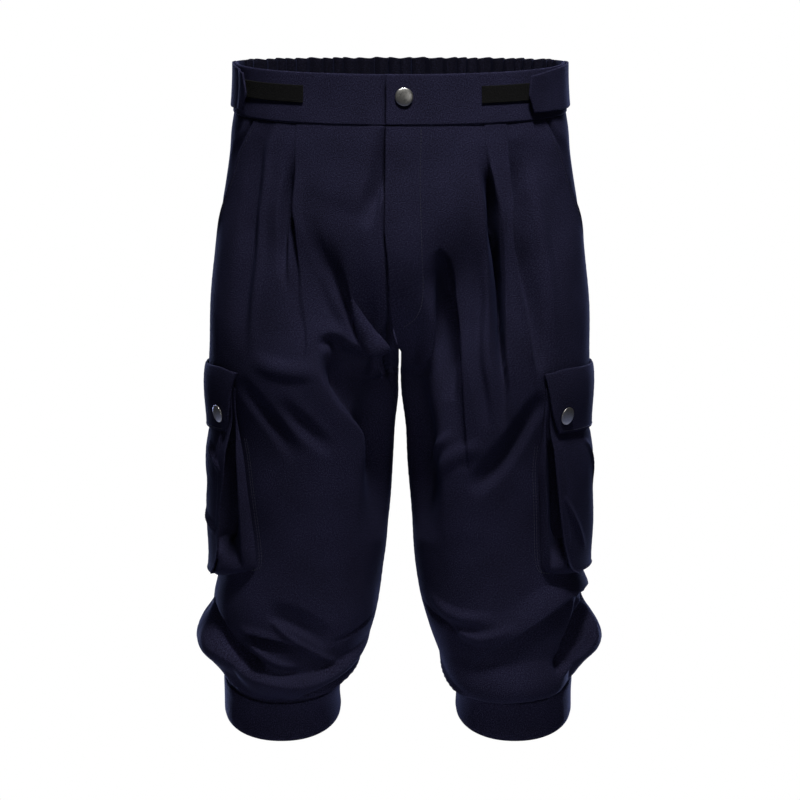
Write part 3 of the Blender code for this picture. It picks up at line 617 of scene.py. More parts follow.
sewing = {
    "dip": 0.75,  # how far a seam pulls the cloth in
    "dipWidth": 1.7,
    "pull": 0.45,
    "pullWidth": 6.0,
    "pucker": 0.3,
    "puckerLength": 7.5,
    "puckerReach": (1.5, 7.0),  # mm from the seam where the puckers start, and where they fade
}


def seamPull(distance, along):  # a sewn line sinks, and the cloth beside it puckers
    near, far = sewing["puckerReach"]
    turns = 2 * math.pi * along / sewing["puckerLength"]
    waves = 0.6 * np.sin(turns + 1.7 * np.sin(along / 23)) + 0.4 * np.sin(turns / 1.7 + 1)  # uneven
    dip = sewing["dip"] * np.exp(-((distance / sewing["dipWidth"]) ** 2))
    pull = sewing["pull"] * np.exp(-((distance / sewing["pullWidth"]) ** 2))
    pucker = sewing["pucker"] * waves * np.exp(-distance / far) * (1 - np.exp(-distance / near))
    return pucker - dip - pull


# where the leg is gathered into the knee band: wave length in degrees, the rest in mm
bandGathers = {"wave": 7.3, "heights": (0.45, 0.35), "reach": 9.0, "dip": 0.5, "dipReach": 3.0}


def seamMove(side, angle, level):
    arc = degreeArc(level)
    sideSeam = np.where((angle < 0) | (level < hipPocket["mouthEnd"]), 1.0, 0.0)
    out = sideSeam * seamPull(np.abs(angle) * arc, level)
    centre = np.where((angle < 0) | (level < fly["end"]), 1.0, 0.0)
    out += centre * seamPull(np.abs(180 - np.abs(angle)) * arc, level + 3)
    aboveBand = level - garment["bandTop"]
    turns = 2 * math.pi * angle / bandGathers["wave"] + 1.6 * np.sin(angle / 17 + side)
    high, low = bandGathers["heights"]
    gathered = high * np.sin(turns) + low * np.sin(0.47 * turns + 2)
    gathered = gathered * np.exp(-((aboveBand / bandGathers["reach"]) ** 2))
    return out + gathered - bandGathers["dip"] * np.exp(-((aboveBand / bandGathers["dipReach"]) ** 2))


def slack(side, angle, level):  # the slow unevenness of a soft cloth, in waves that never line up
    waves = 0.5 * np.sin(angle / 15 + level / 47 + side) * np.sin(level / 31 + angle / 60 + 1.3)
    waves += 0.3 * np.sin(angle / 9 - level / 37 + 2 * side) + 0.2 * np.sin(level / 12 + angle / 21)
    return waves * ramp(level, -40, -100)


gatherShape = {
    "wave": 10.4,  # degrees
    "height": 2.8,
    "zone": (-26, -46),  # degrees from plain to full
    "runOn": 40.0,  # mm that they run on into the backs, below the elastic
    "topPull": 0.2,  # share of their height by which the elastic's top edge goes up and down
}


def gathers(angle):
    strength = ramp(angle, *gatherShape["zone"])
    turns = 2 * math.pi * angle / gatherShape["wave"] + 1.3 * np.sin(angle / 23) + 1.1 * np.sin(angle / 7.1)
    return gatherShape["height"] * strength * (np.sin(turns) + 0.5 * np.sin(0.37 * turns + 1.1))


hollowing = {  # angles and levels go from its rim to its full depth
    "depth": 22.0,
    "front": {-1: (47, 20), 1: (60, 33)},
    "back": {-1: (-54, -27), 1: (-38, -11)},
    "top": (-338, -354),
    "bottom": (-468, -424),
}


def pocketHollow(side, angle, level):  # the leg gives way under the pocket, where the bellows fold in
    across = ramp(angle, *hollowing["front"][side]) * ramp(angle, *hollowing["back"][side])
    return hollowing["depth"] * across * ramp(level, *hollowing["bottom"]) * ramp(level, *hollowing["top"])


# how the leg is set into the knee band: mm above it over which each thing starts, and the tuck's depth
setIn = {"folds": (0.6, 9.6), "seams": (0.2, 2.7), "tuck": (0.6, 6.1), "tuckDepth": 3.1}


def skin(side, angle, level, off=0.0, hollow=1):  # the cloth's outer face with its folds
    angle, level, off = (a.astype(float) for a in np.broadcast_arrays(angle, level, off))
    out, down = foldMove(rightFolds if side < 0 else leftFolds, angle, level)
    aboveBand = level - garment["bandTop"]
    free = ramp(aboveBand, *setIn["folds"])  # the folds turn back in to the knee band's seam
    out, down = out * free, down * free
    out += (seamMove(side, angle, level) + slack(side, angle, level)) * ramp(aboveBand, *setIn["seams"])
    out -= setIn["tuckDepth"] * (1 - ramp(aboveBand, *setIn["tuck"]))
    sewn = pleatMove(side, angle, level) + flyMove(side, angle, level) + gape(angle, level)
    out += np.where(angle > 0, sewn, 0) - hollow * pocketHollow(side, angle, level)
    points = raised(side, angle, level, out + off)
    points[..., 2] -= down
    return points


waistband = {
    "proud": 1.2,
    "joint": -12.0,  # degrees behind the side seam
    "endZone": 12.0,  # degrees of finer columns at the lapping end
    "frontCells": (24, 96),
    "backCells": 169,
    "backRim": (0.05, 0.2, 0.5, 1.0, 1.6),  # degrees of finer columns at both joints
    "topZone": (10, 24),  # levels over which the elastic pulls the top edge uneven
    "rowStep": 2.6,
    "degreeArc": 1.25,  # mm of band for each degree, near enough for its rims
    "valleyAt": 167.5,  # the lap pulls a soft valley into the lower front's end
    "valleyWidth": 4.0,
    "valleyDepth": 1.5,
}


def bandSkin(side, angle, level, off=waistband["proud"]):  # the waistband's outer face
    angle, level, off = (a.astype(float) for a in np.broadcast_arrays(angle, level, off))
    off = off + np.where(angle > 0, flyMove(side, angle, level), 0)
    off = off + np.where(angle < 0, gathers(angle), 0)
    if side < 0:
        valley = np.exp(-(((angle - waistband["valleyAt"]) / waistband["valleyWidth"]) ** 2))
        off = off - waistband["valleyDepth"] * valley
    return raised(side, angle, level, off)


rimSteps = (0.0, 0.18, 0.45, 0.9, 1.6)  # mm from a cut edge, where the rim is rounded


def spaced(start, end, step, softStart=True, softEnd=True):  # places a step apart, closer at soft ends
    way = np.sign(end - start)
    head = [start + way * d for d in rimSteps] if softStart else [start]
    tail = [end - way * d for d in rimSteps][::-1] if softEnd else [end]
    cells = max(round(abs(tail[0] - head[-1]) / step), 1)
    return np.concatenate([head, np.linspace(head[-1], tail[0], cells + 1)[1:-1], tail])


def columnsBetween(guides, cells, arc):  # angles of each row, even from guide to guide, closer at both rims
    way = np.sign(np.mean(guides[-1] - guides[0]))
    head = [guides[0] + way * d / arc for d in rimSteps]
    tail = [guides[-1] - way * d / arc for d in rimSteps][::-1]
    inner = [head[-1], *guides[1:-1], tail[0]]
    columns = head[:-1]
    for start, end, count in zip(inner[:-1], inner[1:], cells):
        columns += [start + (end - start) * i / count for i in range(count)]
    return np.stack([*columns, *tail], axis=1)


def addMesh(name, points, faces, finish, uv=None):
    mesh = bpy.data.meshes.new(name)
    mesh.from_pydata((np.asarray(points) * mm).tolist(), [], faces)
    if uv is not None:
        mesh.uv_layers.new(name="cloth").uv.foreach_set("vector", np.asarray(uv, np.float32).ravel())
    mesh.materials.append(finish)
    mesh.shade_smooth()
    piece = bpy.data.objects.new(name, mesh)
    bpy.context.scene.collection.objects.link(piece)
    return piece


def clothWall(name, outer, thick, finish, side, ring=False):
    # a closed wall with rounded rims, from a grid of outer points whose columns run to a smaller angle
    rows, columns = outer.shape[:2]
    wrapped = np.concatenate([outer[:, -1:], outer, outer[:, :1]], axis=1) if ring else outer
    across = np.gradient(wrapped, axis=1)
    across = across[:, 1:-1] if ring else across
    normal = unit(np.cross(across, np.gradient(outer, axis=0))) * -side

    stepAcross = np.linalg.norm(np.diff(outer, axis=1), axis=2)
    fromFirst = np.concatenate([np.zeros((rows, 1)), np.cumsum(stepAcross, axis=1)], axis=1)
    stepDown = np.linalg.norm(np.diff(outer, axis=0), axis=2)
    fromTop = np.concatenate([np.zeros((1, columns)), np.cumsum(stepDown, axis=0)], axis=0)
    toRim = np.minimum(fromTop, fromTop[-1:] - fromTop)
    if not ring:
        toRim = np.minimum(toRim, np.minimum(fromFirst, fromFirst[:, -1:] - fromFirst))
    radius = thick / 2
    inFromRim = radius - np.minimum(toRim, radius)
    drop = (radius - np.sqrt(np.maximum(radius**2 - inFromRim**2, 0)))[..., None]
    outerFace = outer - drop * normal
    innerFace = outer - (thick - drop) * normal

    onRim = np.zeros((rows, columns), bool)
    onRim[0] = onRim[-1] = True
    if not ring:
        onRim[:, 0] = onRim[:, -1] = True
    outerIndex = np.arange(rows * columns).reshape(rows, columns)
    innerIndex = outerIndex.copy()
    innerIndex[~onRim] = rows * columns + np.arange((~onRim).sum())
    points = np.concatenate([outerFace.reshape(-1, 3), innerFace[~onRim]])

    middle = columns // 2
    u = fromFirst - fromFirst[:, middle : middle + 1]
    v = -np.broadcast_to(fromTop[:, middle : middle + 1], u.shape)
    if ring:
        closing = np.linalg.norm(outer[:, 0] - outer[:, -1], axis=1)
        u = np.concatenate([u, (u[:, -1] + closing)[:, None]], axis=1)
        v = np.concatenate([v, v[:, :1]], axis=1)
    row, col = np.meshgrid(np.arange(rows - 1), np.arange(columns if ring else columns - 1), indexing="ij")
    corners = [(row, col), (row, col + 1), (row + 1, col + 1), (row + 1, col)]
    if side > 0:
        corners = corners[::-1]
    faces, places = [], []
    for index, order in ((outerIndex, corners), (innerIndex, corners[::-1])):
        faces.append(np.stack([index[r, c % columns] for r, c in order], axis=-1).reshape(-1, 4))
        around = [np.stack([u[r, c], v[r, c]], axis=-1) for r, c in order]
        places.append(np.stack(around, axis=2).reshape(-1, 2))
    return addMesh(name, points, np.concatenate(faces).tolist(), finish, np.concatenate(places) * mm)


def dress(piece, node):  # attaches a cloth piece to the root and hides the part it stands in for
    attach(piece, "root")
    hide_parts(node)
    return piece


def linear(hexColour):
    shares = [int(hexColour[i : i + 2], 16) / 255 for i in (1, 3, 5)]
    return (*(s / 12.92 if s <= 0.04045 else ((s + 0.055) / 1.055) ** 2.4 for s in shares), 1.0)


def addNode(tree, kind, settings=None, links=None):
    node = tree.nodes.new("ShaderNode" + kind)
    for name, value in (settings or {}).items():
        if isinstance(name, str) and hasattr(node, name):
            setattr(node, name, value)
        else:
            node.inputs[name].default_value = value
    for name, source in (links or {}).items():
        tree.links.new(source, node.inputs[name])
    return node


def startMaterial(name):
    material = bpy.data.materials.new(name)
    material.use_nodes = True
    return material, material.node_tree, material.node_tree.nodes["Principled BSDF"]


woolLook = {
    "shades": ((0.34, "#0e0d18"), (0.5, "#1e1d31"), (0.72, "#3b3b58")),
    "sheen": "#8fa0ff",
    "sheenWeight": 0.02,
    "sheenRoughness": 0.4,
    "roughness": 0.86,
    "fleckSize": 1.1,  # mm, coarser than the 0.3 mm of real fibre tufts so that it shows
    "fibreSize": 0.77,
    "twillSpacing": 1.6,  # mm, the real twill has a rib each 0.8
    "patchSize": 60.0,
    "patchTone": (0.82, 1.15),
    # painted shade: the back waistband's inner face is dimmed to this share of its colour
    "innerShadeTone": 0.3,
    "bump": 0.3,
    "bumpDepth": 0.4,
}
loopLook = {"pileSize": 1.5, "bumpDepth": 0.8, "shades": ((0.48, "#020202"), (0.68, "#121211"))}
threadLook = {"plySize": 0.5, "shades": ((0.0, "#101224"), (1.0, "#24273f"))}
nickelLook = {"colour": "#c9c7c2", "grainSize": 0.9, "bumpDepth": 0.1, "roughness": (0.24, 0.4)}


def setStops(colourRamp, shades):  # (share, hex) stops, the first and last on the ramp's own two
    stops = colourRamp.elements
    for stop, (share, colour) in zip((stops[0], stops[1]), (shades[0], shades[-1])):
        stop.position = share
        stop.color = linear(colour)
    for share, colour in shades[1:-1]:
        stops.new(share).color = linear(colour)


def patternScale(length):  # a pattern's scale from its real size in mm
    return 1 / (length * mm)


def makeWool():
    # milled wool twill, piece-dyed navy from mixed fibres: matt, with pale flecks and a soft bloom at
    # its edges
    material, tree, shader = startMaterial("milledWoolTwill")
    cloth = {"Vector": addNode(tree, "UVMap", {"uv_map": "cloth"}).outputs["UV"]}
    fleckScale, patchScale = patternScale(woolLook["fleckSize"]), patternScale(woolLook["patchSize"])
    flecks = addNode(tree, "TexNoise", {"Scale": fleckScale, "Detail": 3.0, "Roughness": 0.75}, cloth)
    patches = addNode(tree, "TexNoise", {"Scale": patchScale, "Detail": 2.0}, cloth)
    fibreTurn = addNode(tree, "Mapping", {"Rotation": (0, 0, 0.9), "Scale": (1, 0.22, 1)}, cloth)
    fibres = addNode(
        tree,
        "TexNoise",
        {"Scale": patternScale(woolLook["fibreSize"]), "Detail": 2.0, "Roughness": 0.6},
        {"Vector": fibreTurn.outputs["Vector"]},
    )
    twillTurn = addNode(tree, "Mapping", {"Rotation": (0, 0, math.radians(45))}, cloth)
    twill = addNode(
        tree,
        "TexWave",  # this node's rib is 2 pi / 20 long at a scale of 1
        {
            "Scale": math.pi / 10 * patternScale(woolLook["twillSpacing"]),
            "Distortion": 1.2,
            "Detail": 2.0,
            "Detail Scale": 1.5,
        },
        {"Vector": twillTurn.outputs["Vector"]},
    )
    low, high = woolLook["patchTone"]
    worn = addNode(
        tree,
        "MapRange",
        {"From Min": 0.3, "From Max": 0.7, "To Min": low, "To Max": high},
        {"Value": patches.outputs["Fac"]},
    )
    innerShadeMask = addNode(tree, "Attribute", {"attribute_name": "paintedInnerShade"})  # painted shade: the back waistband's inner face is dimmed where shade falls inside the garment
    dim = addNode(
        tree, "MapRange", {"To Min": 1.0, "To Max": woolLook["innerShadeTone"]}, {"Value": innerShadeMask.outputs["Fac"]}
    )
    tone = addNode(
        tree, "Math", {"operation": "MULTIPLY"}, {0: worn.outputs["Result"], 1: dim.outputs["Result"]}
    )
    shade = addNode(tree, "ValToRGB", {}, {"Fac": flecks.outputs["Fac"]})
    setStops(shade.color_ramp, woolLook["shades"])
    toned = {0: shade.outputs["Color"], "Scale": tone.outputs[0]}
    tint = addNode(tree, "VectorMath", {"operation": "SCALE"}, toned)
    weave = addNode(tree, "Math", {"operation": "MULTIPLY", 1: 0.35}, {0: twill.outputs["Fac"]})
    fuzz = addNode(tree, "Math", {"operation": "ADD"}, {0: weave.outputs[0], 1: fibres.outputs["Fac"]})
    relief = addNode(
        tree,
        "Bump",
        {"Strength": woolLook["bump"], "Distance": woolLook["bumpDepth"] * mm},
        {"Height": fuzz.outputs[0]},
    )
    tree.links.new(tint.outputs[0], shader.inputs["Base Color"])
    tree.links.new(relief.outputs["Normal"], shader.inputs["Normal"])
    shader.inputs["Roughness"].default_value = woolLook["roughness"]
    shader.inputs["IOR"].default_value = 1.45
    shader.inputs["Specular IOR Level"].default_value = 0.08
    shader.inputs["Sheen Weight"].default_value = woolLook["sheenWeight"]
    shader.inputs["Sheen Roughness"].default_value = woolLook["sheenRoughness"]
    shader.inputs["Sheen Tint"].default_value = linear(woolLook["sheen"])
    return material


def makeLoop():
    # woven nylon loop tape: a dull black pile of tiny loops
    material, tree, shader = startMaterial("wovenNylonLoop")
    cloth = {"Vector": addNode(tree, "UVMap", {"uv_map": "cloth"}).outputs["UV"]}
    pileScale = patternScale(loopLook["pileSize"])
    pile = addNode(tree, "TexNoise", {"Scale": pileScale, "Detail": 3.0, "Roughness": 0.7}, cloth)
    relief = addNode(
        tree,
        "Bump",
        {"Strength": 1.0, "Distance": loopLook["bumpDepth"] * mm},
        {"Height": pile.outputs["Fac"]},
    )
    shade = addNode(tree, "ValToRGB", {}, {"Fac": pile.outputs["Fac"]})
    setStops(shade.color_ramp, loopLook["shades"])
    tree.links.new(shade.outputs["Color"], shader.inputs["Base Color"])
    tree.links.new(relief.outputs["Normal"], shader.inputs["Normal"])
    shader.inputs["Roughness"].default_value = 0.95
    shader.inputs["IOR"].default_value = 1.53
    shader.inputs["Specular IOR Level"].default_value = 0.2
    return material


def makeThread():
    # spun polyester sewing thread, navy: a little shinier and paler than the wool
    material, tree, shader = startMaterial("spunPolyesterThread")
    place = {"Vector": addNode(tree, "TexCoord").outputs["Object"]}
    plyScale = patternScale(threadLook["plySize"])
    plies = addNode(tree, "TexNoise", {"Scale": plyScale, "Detail": 1.0}, place)
    shade = addNode(tree, "ValToRGB", {}, {"Fac": plies.outputs["Fac"]})
    setStops(shade.color_ramp, threadLook["shades"])
    tree.links.new(shade.outputs["Color"], shader.inputs["Base Color"])
    shader.inputs["Roughness"].default_value = 0.6
    shader.inputs["IOR"].default_value = 1.55
    return material


def makeSnapMetal():
    # nickel-plated brass, tumbled to a satin: bright and even, with fine random scratches
    material, tree, shader = startMaterial("satinNickelPlate")
    place = {"Vector": addNode(tree, "TexCoord").outputs["Object"]}
    grainScale = patternScale(nickelLook["grainSize"])
    grain = addNode(tree, "TexNoise", {"Scale": grainScale, "Detail": 4.0, "Roughness": 0.7}, place)
    smooth, rough = nickelLook["roughness"]
    dull = addNode(
        tree,
        "MapRange",
        {"From Min": 0.3, "From Max": 0.7, "To Min": smooth, "To Max": rough},
        {"Value": grain.outputs["Fac"]},
    )
    relief = addNode(
        tree,
        "Bump",
        {"Strength": 0.12, "Distance": nickelLook["bumpDepth"] * mm},
        {"Height": grain.outputs["Fac"]},
    )
    shader.inputs["Base Color"].default_value = linear(nickelLook["colour"])
    shader.inputs["Metallic"].default_value = 1.0
    tree.links.new(dull.outputs["Result"], shader.inputs["Roughness"])
    tree.links.new(relief.outputs["Normal"], shader.inputs["Normal"])
    return material


wool = makeWool()
loopPile = makeLoop()
thread = makeThread()
snapMetal = makeSnapMetal()
print("finishes made")


panel = {
    "clear": 0.1,
    "tuck": 4.5,  # mm that the leg runs on inside the knee band
    "kneeStart": -484.0,
    "frontSteps": (2.9, 1.3),  # mm between rows, down to the knee and below it
    "backSteps": (3.6, 2.2),
    "frontCells": {-1: (24, 56, 5, 30, 6, 44), 1: (54, 6, 32, 6, 22, 5, 44)},
    "backCells": (128,),
    "seatShut": 14.0,  # mm above the fork where the centre back seam starts to be drawn shut
    "seatGap": 0.25,
}


def panelLevels(hipStep, kneeStep):
    top = garment["waistSeam"] - panel["clear"]
    bottom = garment["bandTop"] - panel["tuck"]
    upper = spaced(top, panel["kneeStart"], hipStep, softEnd=False)
    return np.concatenate([upper[:-1], spaced(panel["kneeStart"], bottom, kneeStep, softStart=False)])


def makeFront(side, label):
    levels = panelLevels(*panel["frontSteps"])
    arc = degreeArc(levels)
    halfStep = pleatStep(levels) / 2 / arc
    guides = [flyAngle(side, levels)]
    if side < 0:
        guides.append(lapLine(levels, fly["slotSide"]))
    for pleat in pleats[side]:
        line = alongLine(pleat["line"], levels)
        guides += [line + halfStep, line - halfStep]
    guides.append(np.maximum(mouthAngle(levels), fly["seam"]))
    angles = columnsBetween(guides, panel["frontCells"][side], arc)
    outer = skin(side, angles, levels[:, None])
    piece = clothWall(f"wool_front_{label}", outer, garment["cloth"], wool, side)
    return dress(piece, f"front_{label}")


def makeBack(side, label):
    levels = panelLevels(*panel["backSteps"])
    guides = [np.full(levels.shape, -fly["seam"]), -inseam(levels)]
    angles = columnsBetween(guides, panel["backCells"], degreeArc(levels))
    waist = garment["waistSeam"]
    gathered = gathers(angles) * ramp(levels[:, None], waist - gatherShape["runOn"], waist)
    outer = skin(side, angles, levels[:, None], gathered)
    overFork = levels > garment["fork"] + panel["seatShut"]
    outer[:, -1, 0] = np.where(overFork, -side * panel["seatGap"], outer[:, -1, 0])
    piece = clothWall(f"wool_back_{label}", outer, garment["cloth"], wool, side)
    return dress(piece, f"back_{label}")


def makeFacing(side, label):
    levels = spaced(garment["waistSeam"] - garment["gap"], hipPocket["facingEnd"], hipPocket["facingStep"])
    mouth = mouthAngle(levels)
    share = np.linspace(0, 1, hipPocket["facingColumns"])
    angles = (mouth + hipPocket["facingUnder"])[:, None] * (1 - share) + hipPocket["facingBack"] * share
    levels = levels[:, None]
    atWaist, below = hipPocket["facingRise"]
    rise = atWaist + (below - atWaist) * ramp(levels, *hipPocket["facingRiseLevels"])
    sink = -hipPocket["facingSink"] * (1 - np.clip((mouth[:, None] - angles) / rise, 0, 1))
    outer = raised(side, angles, levels, sink)
    piece = clothWall(f"wool_hip_facing_{label}", outer, garment["cloth"], wool, side)
    return dress(piece, f"hip_facing_{label}")


tape = {
    "top": 12.0,
    "bottom": -4.8,
    "thick": 1.2,
    "step": 0.7,
    "cells": (110,),
    "ends": {-1: (114, 44), 1: (126, 62)},  # degrees
}
tab = {
    "thick": 2.2,
    "tip": {-1: 57, 1: 87},  # degrees
    "end": -24,
    "size": (100, 46),  # length and depth in mm, for its rims
    "steps": (1.6, 1.8),
    "tipLift": 3.6,  # the tip curls up, over this share of the tab
    "liftLength": 0.24,
    "tapeRise": 9.0,  # degrees in which it climbs onto the tape, and its extra height there
    "overTape": 0.2,
    "share": (0, 0.3, 0.6, 1),  # share along the tab, and its upper and lower edge
    "top": (19, 22.5, 24, 24),
    "bottom": (-17.5, -18, -19.5, -20),
    "tipShare": (0, 0.5, 0.62, 1),  # share down the tip, and degrees behind its point
    "tipBack": {-1: (4, 0, 0.6, 6), 1: (1.6, 0, 0.8, 5.5)},
    "cut": {-1: (0.095, 0.0033), 1: (0.12, 0.0047)},  # length in metres and area in square metres
}


def makeWaistbandFront(side, label):
    levels = spaced(garment["waistTop"], garment["waistSeam"], waistband["rowStep"])
    centre = flyAngle(side, levels)
    slotSide = lapLine(levels, fly["slotSide"]) if side < 0 else centre - waistband["endZone"]
    guides = [centre, slotSide, np.full(levels.shape, waistband["joint"])]
    angles = columnsBetween(guides, waistband["frontCells"], waistband["degreeArc"])
    outer = bandSkin(side, angles, levels[:, None])
    piece = clothWall(f"wool_waistband_front_{label}", outer, garment["doubleCloth"], wool, side)
    return dress(piece, f"waistband_front_{label}")


def makeWaistbandBack():
    levels = spaced(garment["waistTop"], garment["waistSeam"], waistband["rowStep"])[:, None]
    rim = waistband["joint"] - np.array(waistband["backRim"])
    angles = np.concatenate([rim[:-1], np.linspace(rim[-1], -180, waistband["backCells"] + 1)])
    pulled = ramp(levels, *waistband["topZone"])
    levels = levels + gatherShape["topPull"] * gathers(angles + 2)[None, :] * pulled
    right = bandSkin(-1, angles[None, :], levels)
    left = bandSkin(1, angles[None, :], levels)
    outer = np.concatenate([right, left[:, -2::-1]], axis=1)
    piece = clothWall("wool_waistband_back", outer, garment["doubleCloth"], wool, -1)
    # marks the inner face, whose colour the wool finish darkens as painted shade
    inside = np.arange(len(piece.data.vertices)) >= outer.shape[0] * outer.shape[1]
    paintedInnerShade = piece.data.attributes.new("paintedInnerShade", "FLOAT", "POINT")
    paintedInnerShade.data.foreach_set("value", inside.astype(float))
    return dress(piece, "waistband_back")


def makeTape(side, label):
    levels = spaced(tape["top"], tape["bottom"], tape["step"])
    guides = [np.full(levels.shape, float(end)) for end in tape["ends"][side]]
    angles = columnsBetween(guides, tape["cells"], waistband["degreeArc"])
    off = waistband["proud"] + garment["gap"] + tape["thick"]
    outer = bandSkin(side, angles, levels[:, None], off)
    piece = clothWall(f"loop_tape_pile_{label}", outer, tape["thick"], loopPile, side)
    return dress(piece, f"loop_tape_{label}")


def makeTab(side, label):
    length, depth = tab["size"]
    stepAlong, stepDown = tab["steps"]
    down = spaced(0, depth, stepDown)[:, None] / depth
    along = spaced(0, length, stepAlong)[None, :] / length
    start = tab["tip"][side] - np.interp(down, tab["tipShare"], tab["tipBack"][side])
    angles = start + (tab["end"] - start) * along
    top = np.interp(along, tab["share"], tab["top"])
    levels = top + (np.interp(along, tab["share"], tab["bottom"]) - top) * down
    tapeEnd = tape["ends"][side][1]
    onTape = ramp(angles, tapeEnd - tab["tapeRise"], tapeEnd)
    clear = waistband["proud"] + 2 * garment["gap"] + tab["thick"]
    clear = clear + (tape["thick"] + tab["overTape"]) * onTape
    curl = tab["tipLift"] * ramp(along, tab["liftLength"], 0) * (1 - 0.8 * down**2)
    overGathers = gatherShape["height"] * ramp(along, 0.6, 1)
    outer = bandSkin(side, angles, levels, clear + curl + overGathers)
    piece = clothWall(f"wool_side_tab_{label}", outer, tab["thick"], wool, side)
    return dress(piece, f"side_tab_{label}")


# Stations round the pocket's U, from the front top down, along the bottom and up the back. The columns
# are the angle and level of the seam on the leg, those of the face's edge, and its height off the leg.
pocket = {
    -1: (
        (47, -290, 46, -290, 3.0),
        (45.5, -322, 43, -322, 6.0),
        (47, -340, 42, -338, 10.5),
        (50, -362, 42.5, -360, 15.0),
        (52.5, -389, 41.5, -387, 16.5),
        (55, -415, 38, -413, 16.5),
        (58, -439, 36, -438, 15.5),
        (60.3, -458, 34.5, -456, 14.0),
        (60, -466, 32, -466, 13.0),
        (54, -470.5, 29.5, -474, 12.5),
        (38, -477, 26, -480, 12.0),
        (10, -485, 2, -480, 11.5),
        (-20, -488, -16, -480, 11.5),
        (-48, -487, -36, -480, 11.5),
        (-66, -481, -50, -473, 12.5),
        (-68, -460, -53, -458, 14.0),
        (-64, -400, -53, -400, 16.5),
        (-62, -362, -53, -362, 15.0),
        (-60, -333, -53, -333, 9.0),
        (-60, -290, -53, -290, 3.0),
    ),
    1: (
        (62, -290, 58, -290, 3.0),
        (61, -322, 58, -322, 6.0),
        (61.5, -346, 57.5, -344, 12.0),
        (63, -371, 57, -369, 15.5),
        (62.5, -401, 55.5, -399, 16.5),
        (62.5, -430, 53.3, -429, 16.0),
        (62.4, -450, 50.5, -448, 14.8),
        (62, -463, 48, -460, 13.5),
        (59.5, -470, 46, -467, 12.8),
        (52, -473, 43, -472, 12.3),
        (42, -475, 38, -475, 12.0),
        (20, -478, 14, -475, 11.5),
        (-6, -480, -6, -475, 11.5),
        (-32, -481, -24, -475, 11.5),
        (-48, -476, -36, -469, 12.0),
        (-51, -456, -37, -454, 14.0),
        (-48, -400, -37, -400, 16.5),
        (-46, -362, -37, -362, 15.0),
        (-44, -333, -37, -333, 9.0),
        (-44, -290, -37, -290, 3.0),
    ),
}
bottomStations = (10, 13)  # the rows that run along the bottom, where the front and back edges end
bellows = {  # across the gusset: its share of the way to the face's edge, then under it, and its height
    "share": (0, 0.09, 0.19, 0.24, 0.28, 0.32, 0.4, 0.58, 0.72, 0.78, 0.87, 1),
    "reach": (0, 0.12, 0.26, 0.34, 0.38, 0.42, 0.62, 1, 1, 1, 1, 1),
    "beyond": (0, 0, 0, 0, 0, 0, 0, 0.55, 1, 1, 0.6, 0.1),
    "height": (0, 0.35, 0.6, 0.62, 0.45, 0.15, 0, 0, 0, 0.4, 0.97, 1),
    "under": 0.33,  # how far under the face it folds, as a share of the way to the pocket's middle
    "middle": -405.0,
    "plainStart": (-450, -472),  # along the bottom the strip stands straight out
    "levelStart": (-430, -470),
}
face = {
    "top": -294.0,
    "step": 1.8,
    "cells": (84,),
    "rollHeight": 2.6,
    "rollWidth": 3.4,
    "rollStart": (-335, -355),
}
faceFolds = {
    -1: (
        fold(((36, -330, 0), (35, -340, 3.4), (33.5, -356, 3.2), (32, -372, 0)), 4, 5, 0, 0.6),
        fold(((16, -346, 0), (23, -355, 3.6), (32, -366, 3.6), (40, -378, 0)), 5, 7, 0, 0.6),
        fold(((6, -418, 0), (14, -426, 3.2), (24, -432, 3.2), (32, -437, 0)), 5, 7, 0, 0.6),
        fold(((-46, -352, 0), (-36, -366, 2.2), (-24, -384, 0)), 6, 6, 0, 0.4),
        fold(((10, -380, 0), (0, -400, -2), (-12, -428, 0)), 14, 12),
    ),
    1: (
        fold(((52, -392, 0), (49, -404, 2.6), (38, -430, 3.2), (26, -456, 0)), 4, 7, 0, 0.6),
        fold(((30, -342, 0), (22, -352, 2.2), (14, -372, 2), (12, -400, 0)), 5, 5, 0, 0.4),
        fold(((-34, -356, 0), (-24, -372, 2.2), (-14, -396, 0)), 6, 6, 0, 0.4),
        fold(((2, -390, 0), (-8, -414, -2), (-16, -440, 0)), 14, 12),
    ),
}
flap = {
    "level": (-272, -279, -290, -308, -326, -334),
    "proud": (3.4, 4.8, 6.6, 9.0, 11.6, 12.6),
    "frontRight": (51.5, 49.5, 47.2, 44.8, 42, 40.5),
    "frontLeft": (64.5, 63, 61.5, 59.2, 55.5, 53.3),
    "back": {-1: -55.0, 1: -39.0},
    "cornerDrop": 4.0,  # mm that the front top corner hangs lower
    "cornerZone": 18.0,
    "step": 1.8,
    "cells": (66,),
    "snapLevel": -316.0,
    "snapInset": 9.0,
}
pocketArc = 1.45  # mm of leg for each degree at the pockets, near enough for their rims


def flapFront(side, level):
    return smoothColumn(flap, "front" + columnEnd[side], level)


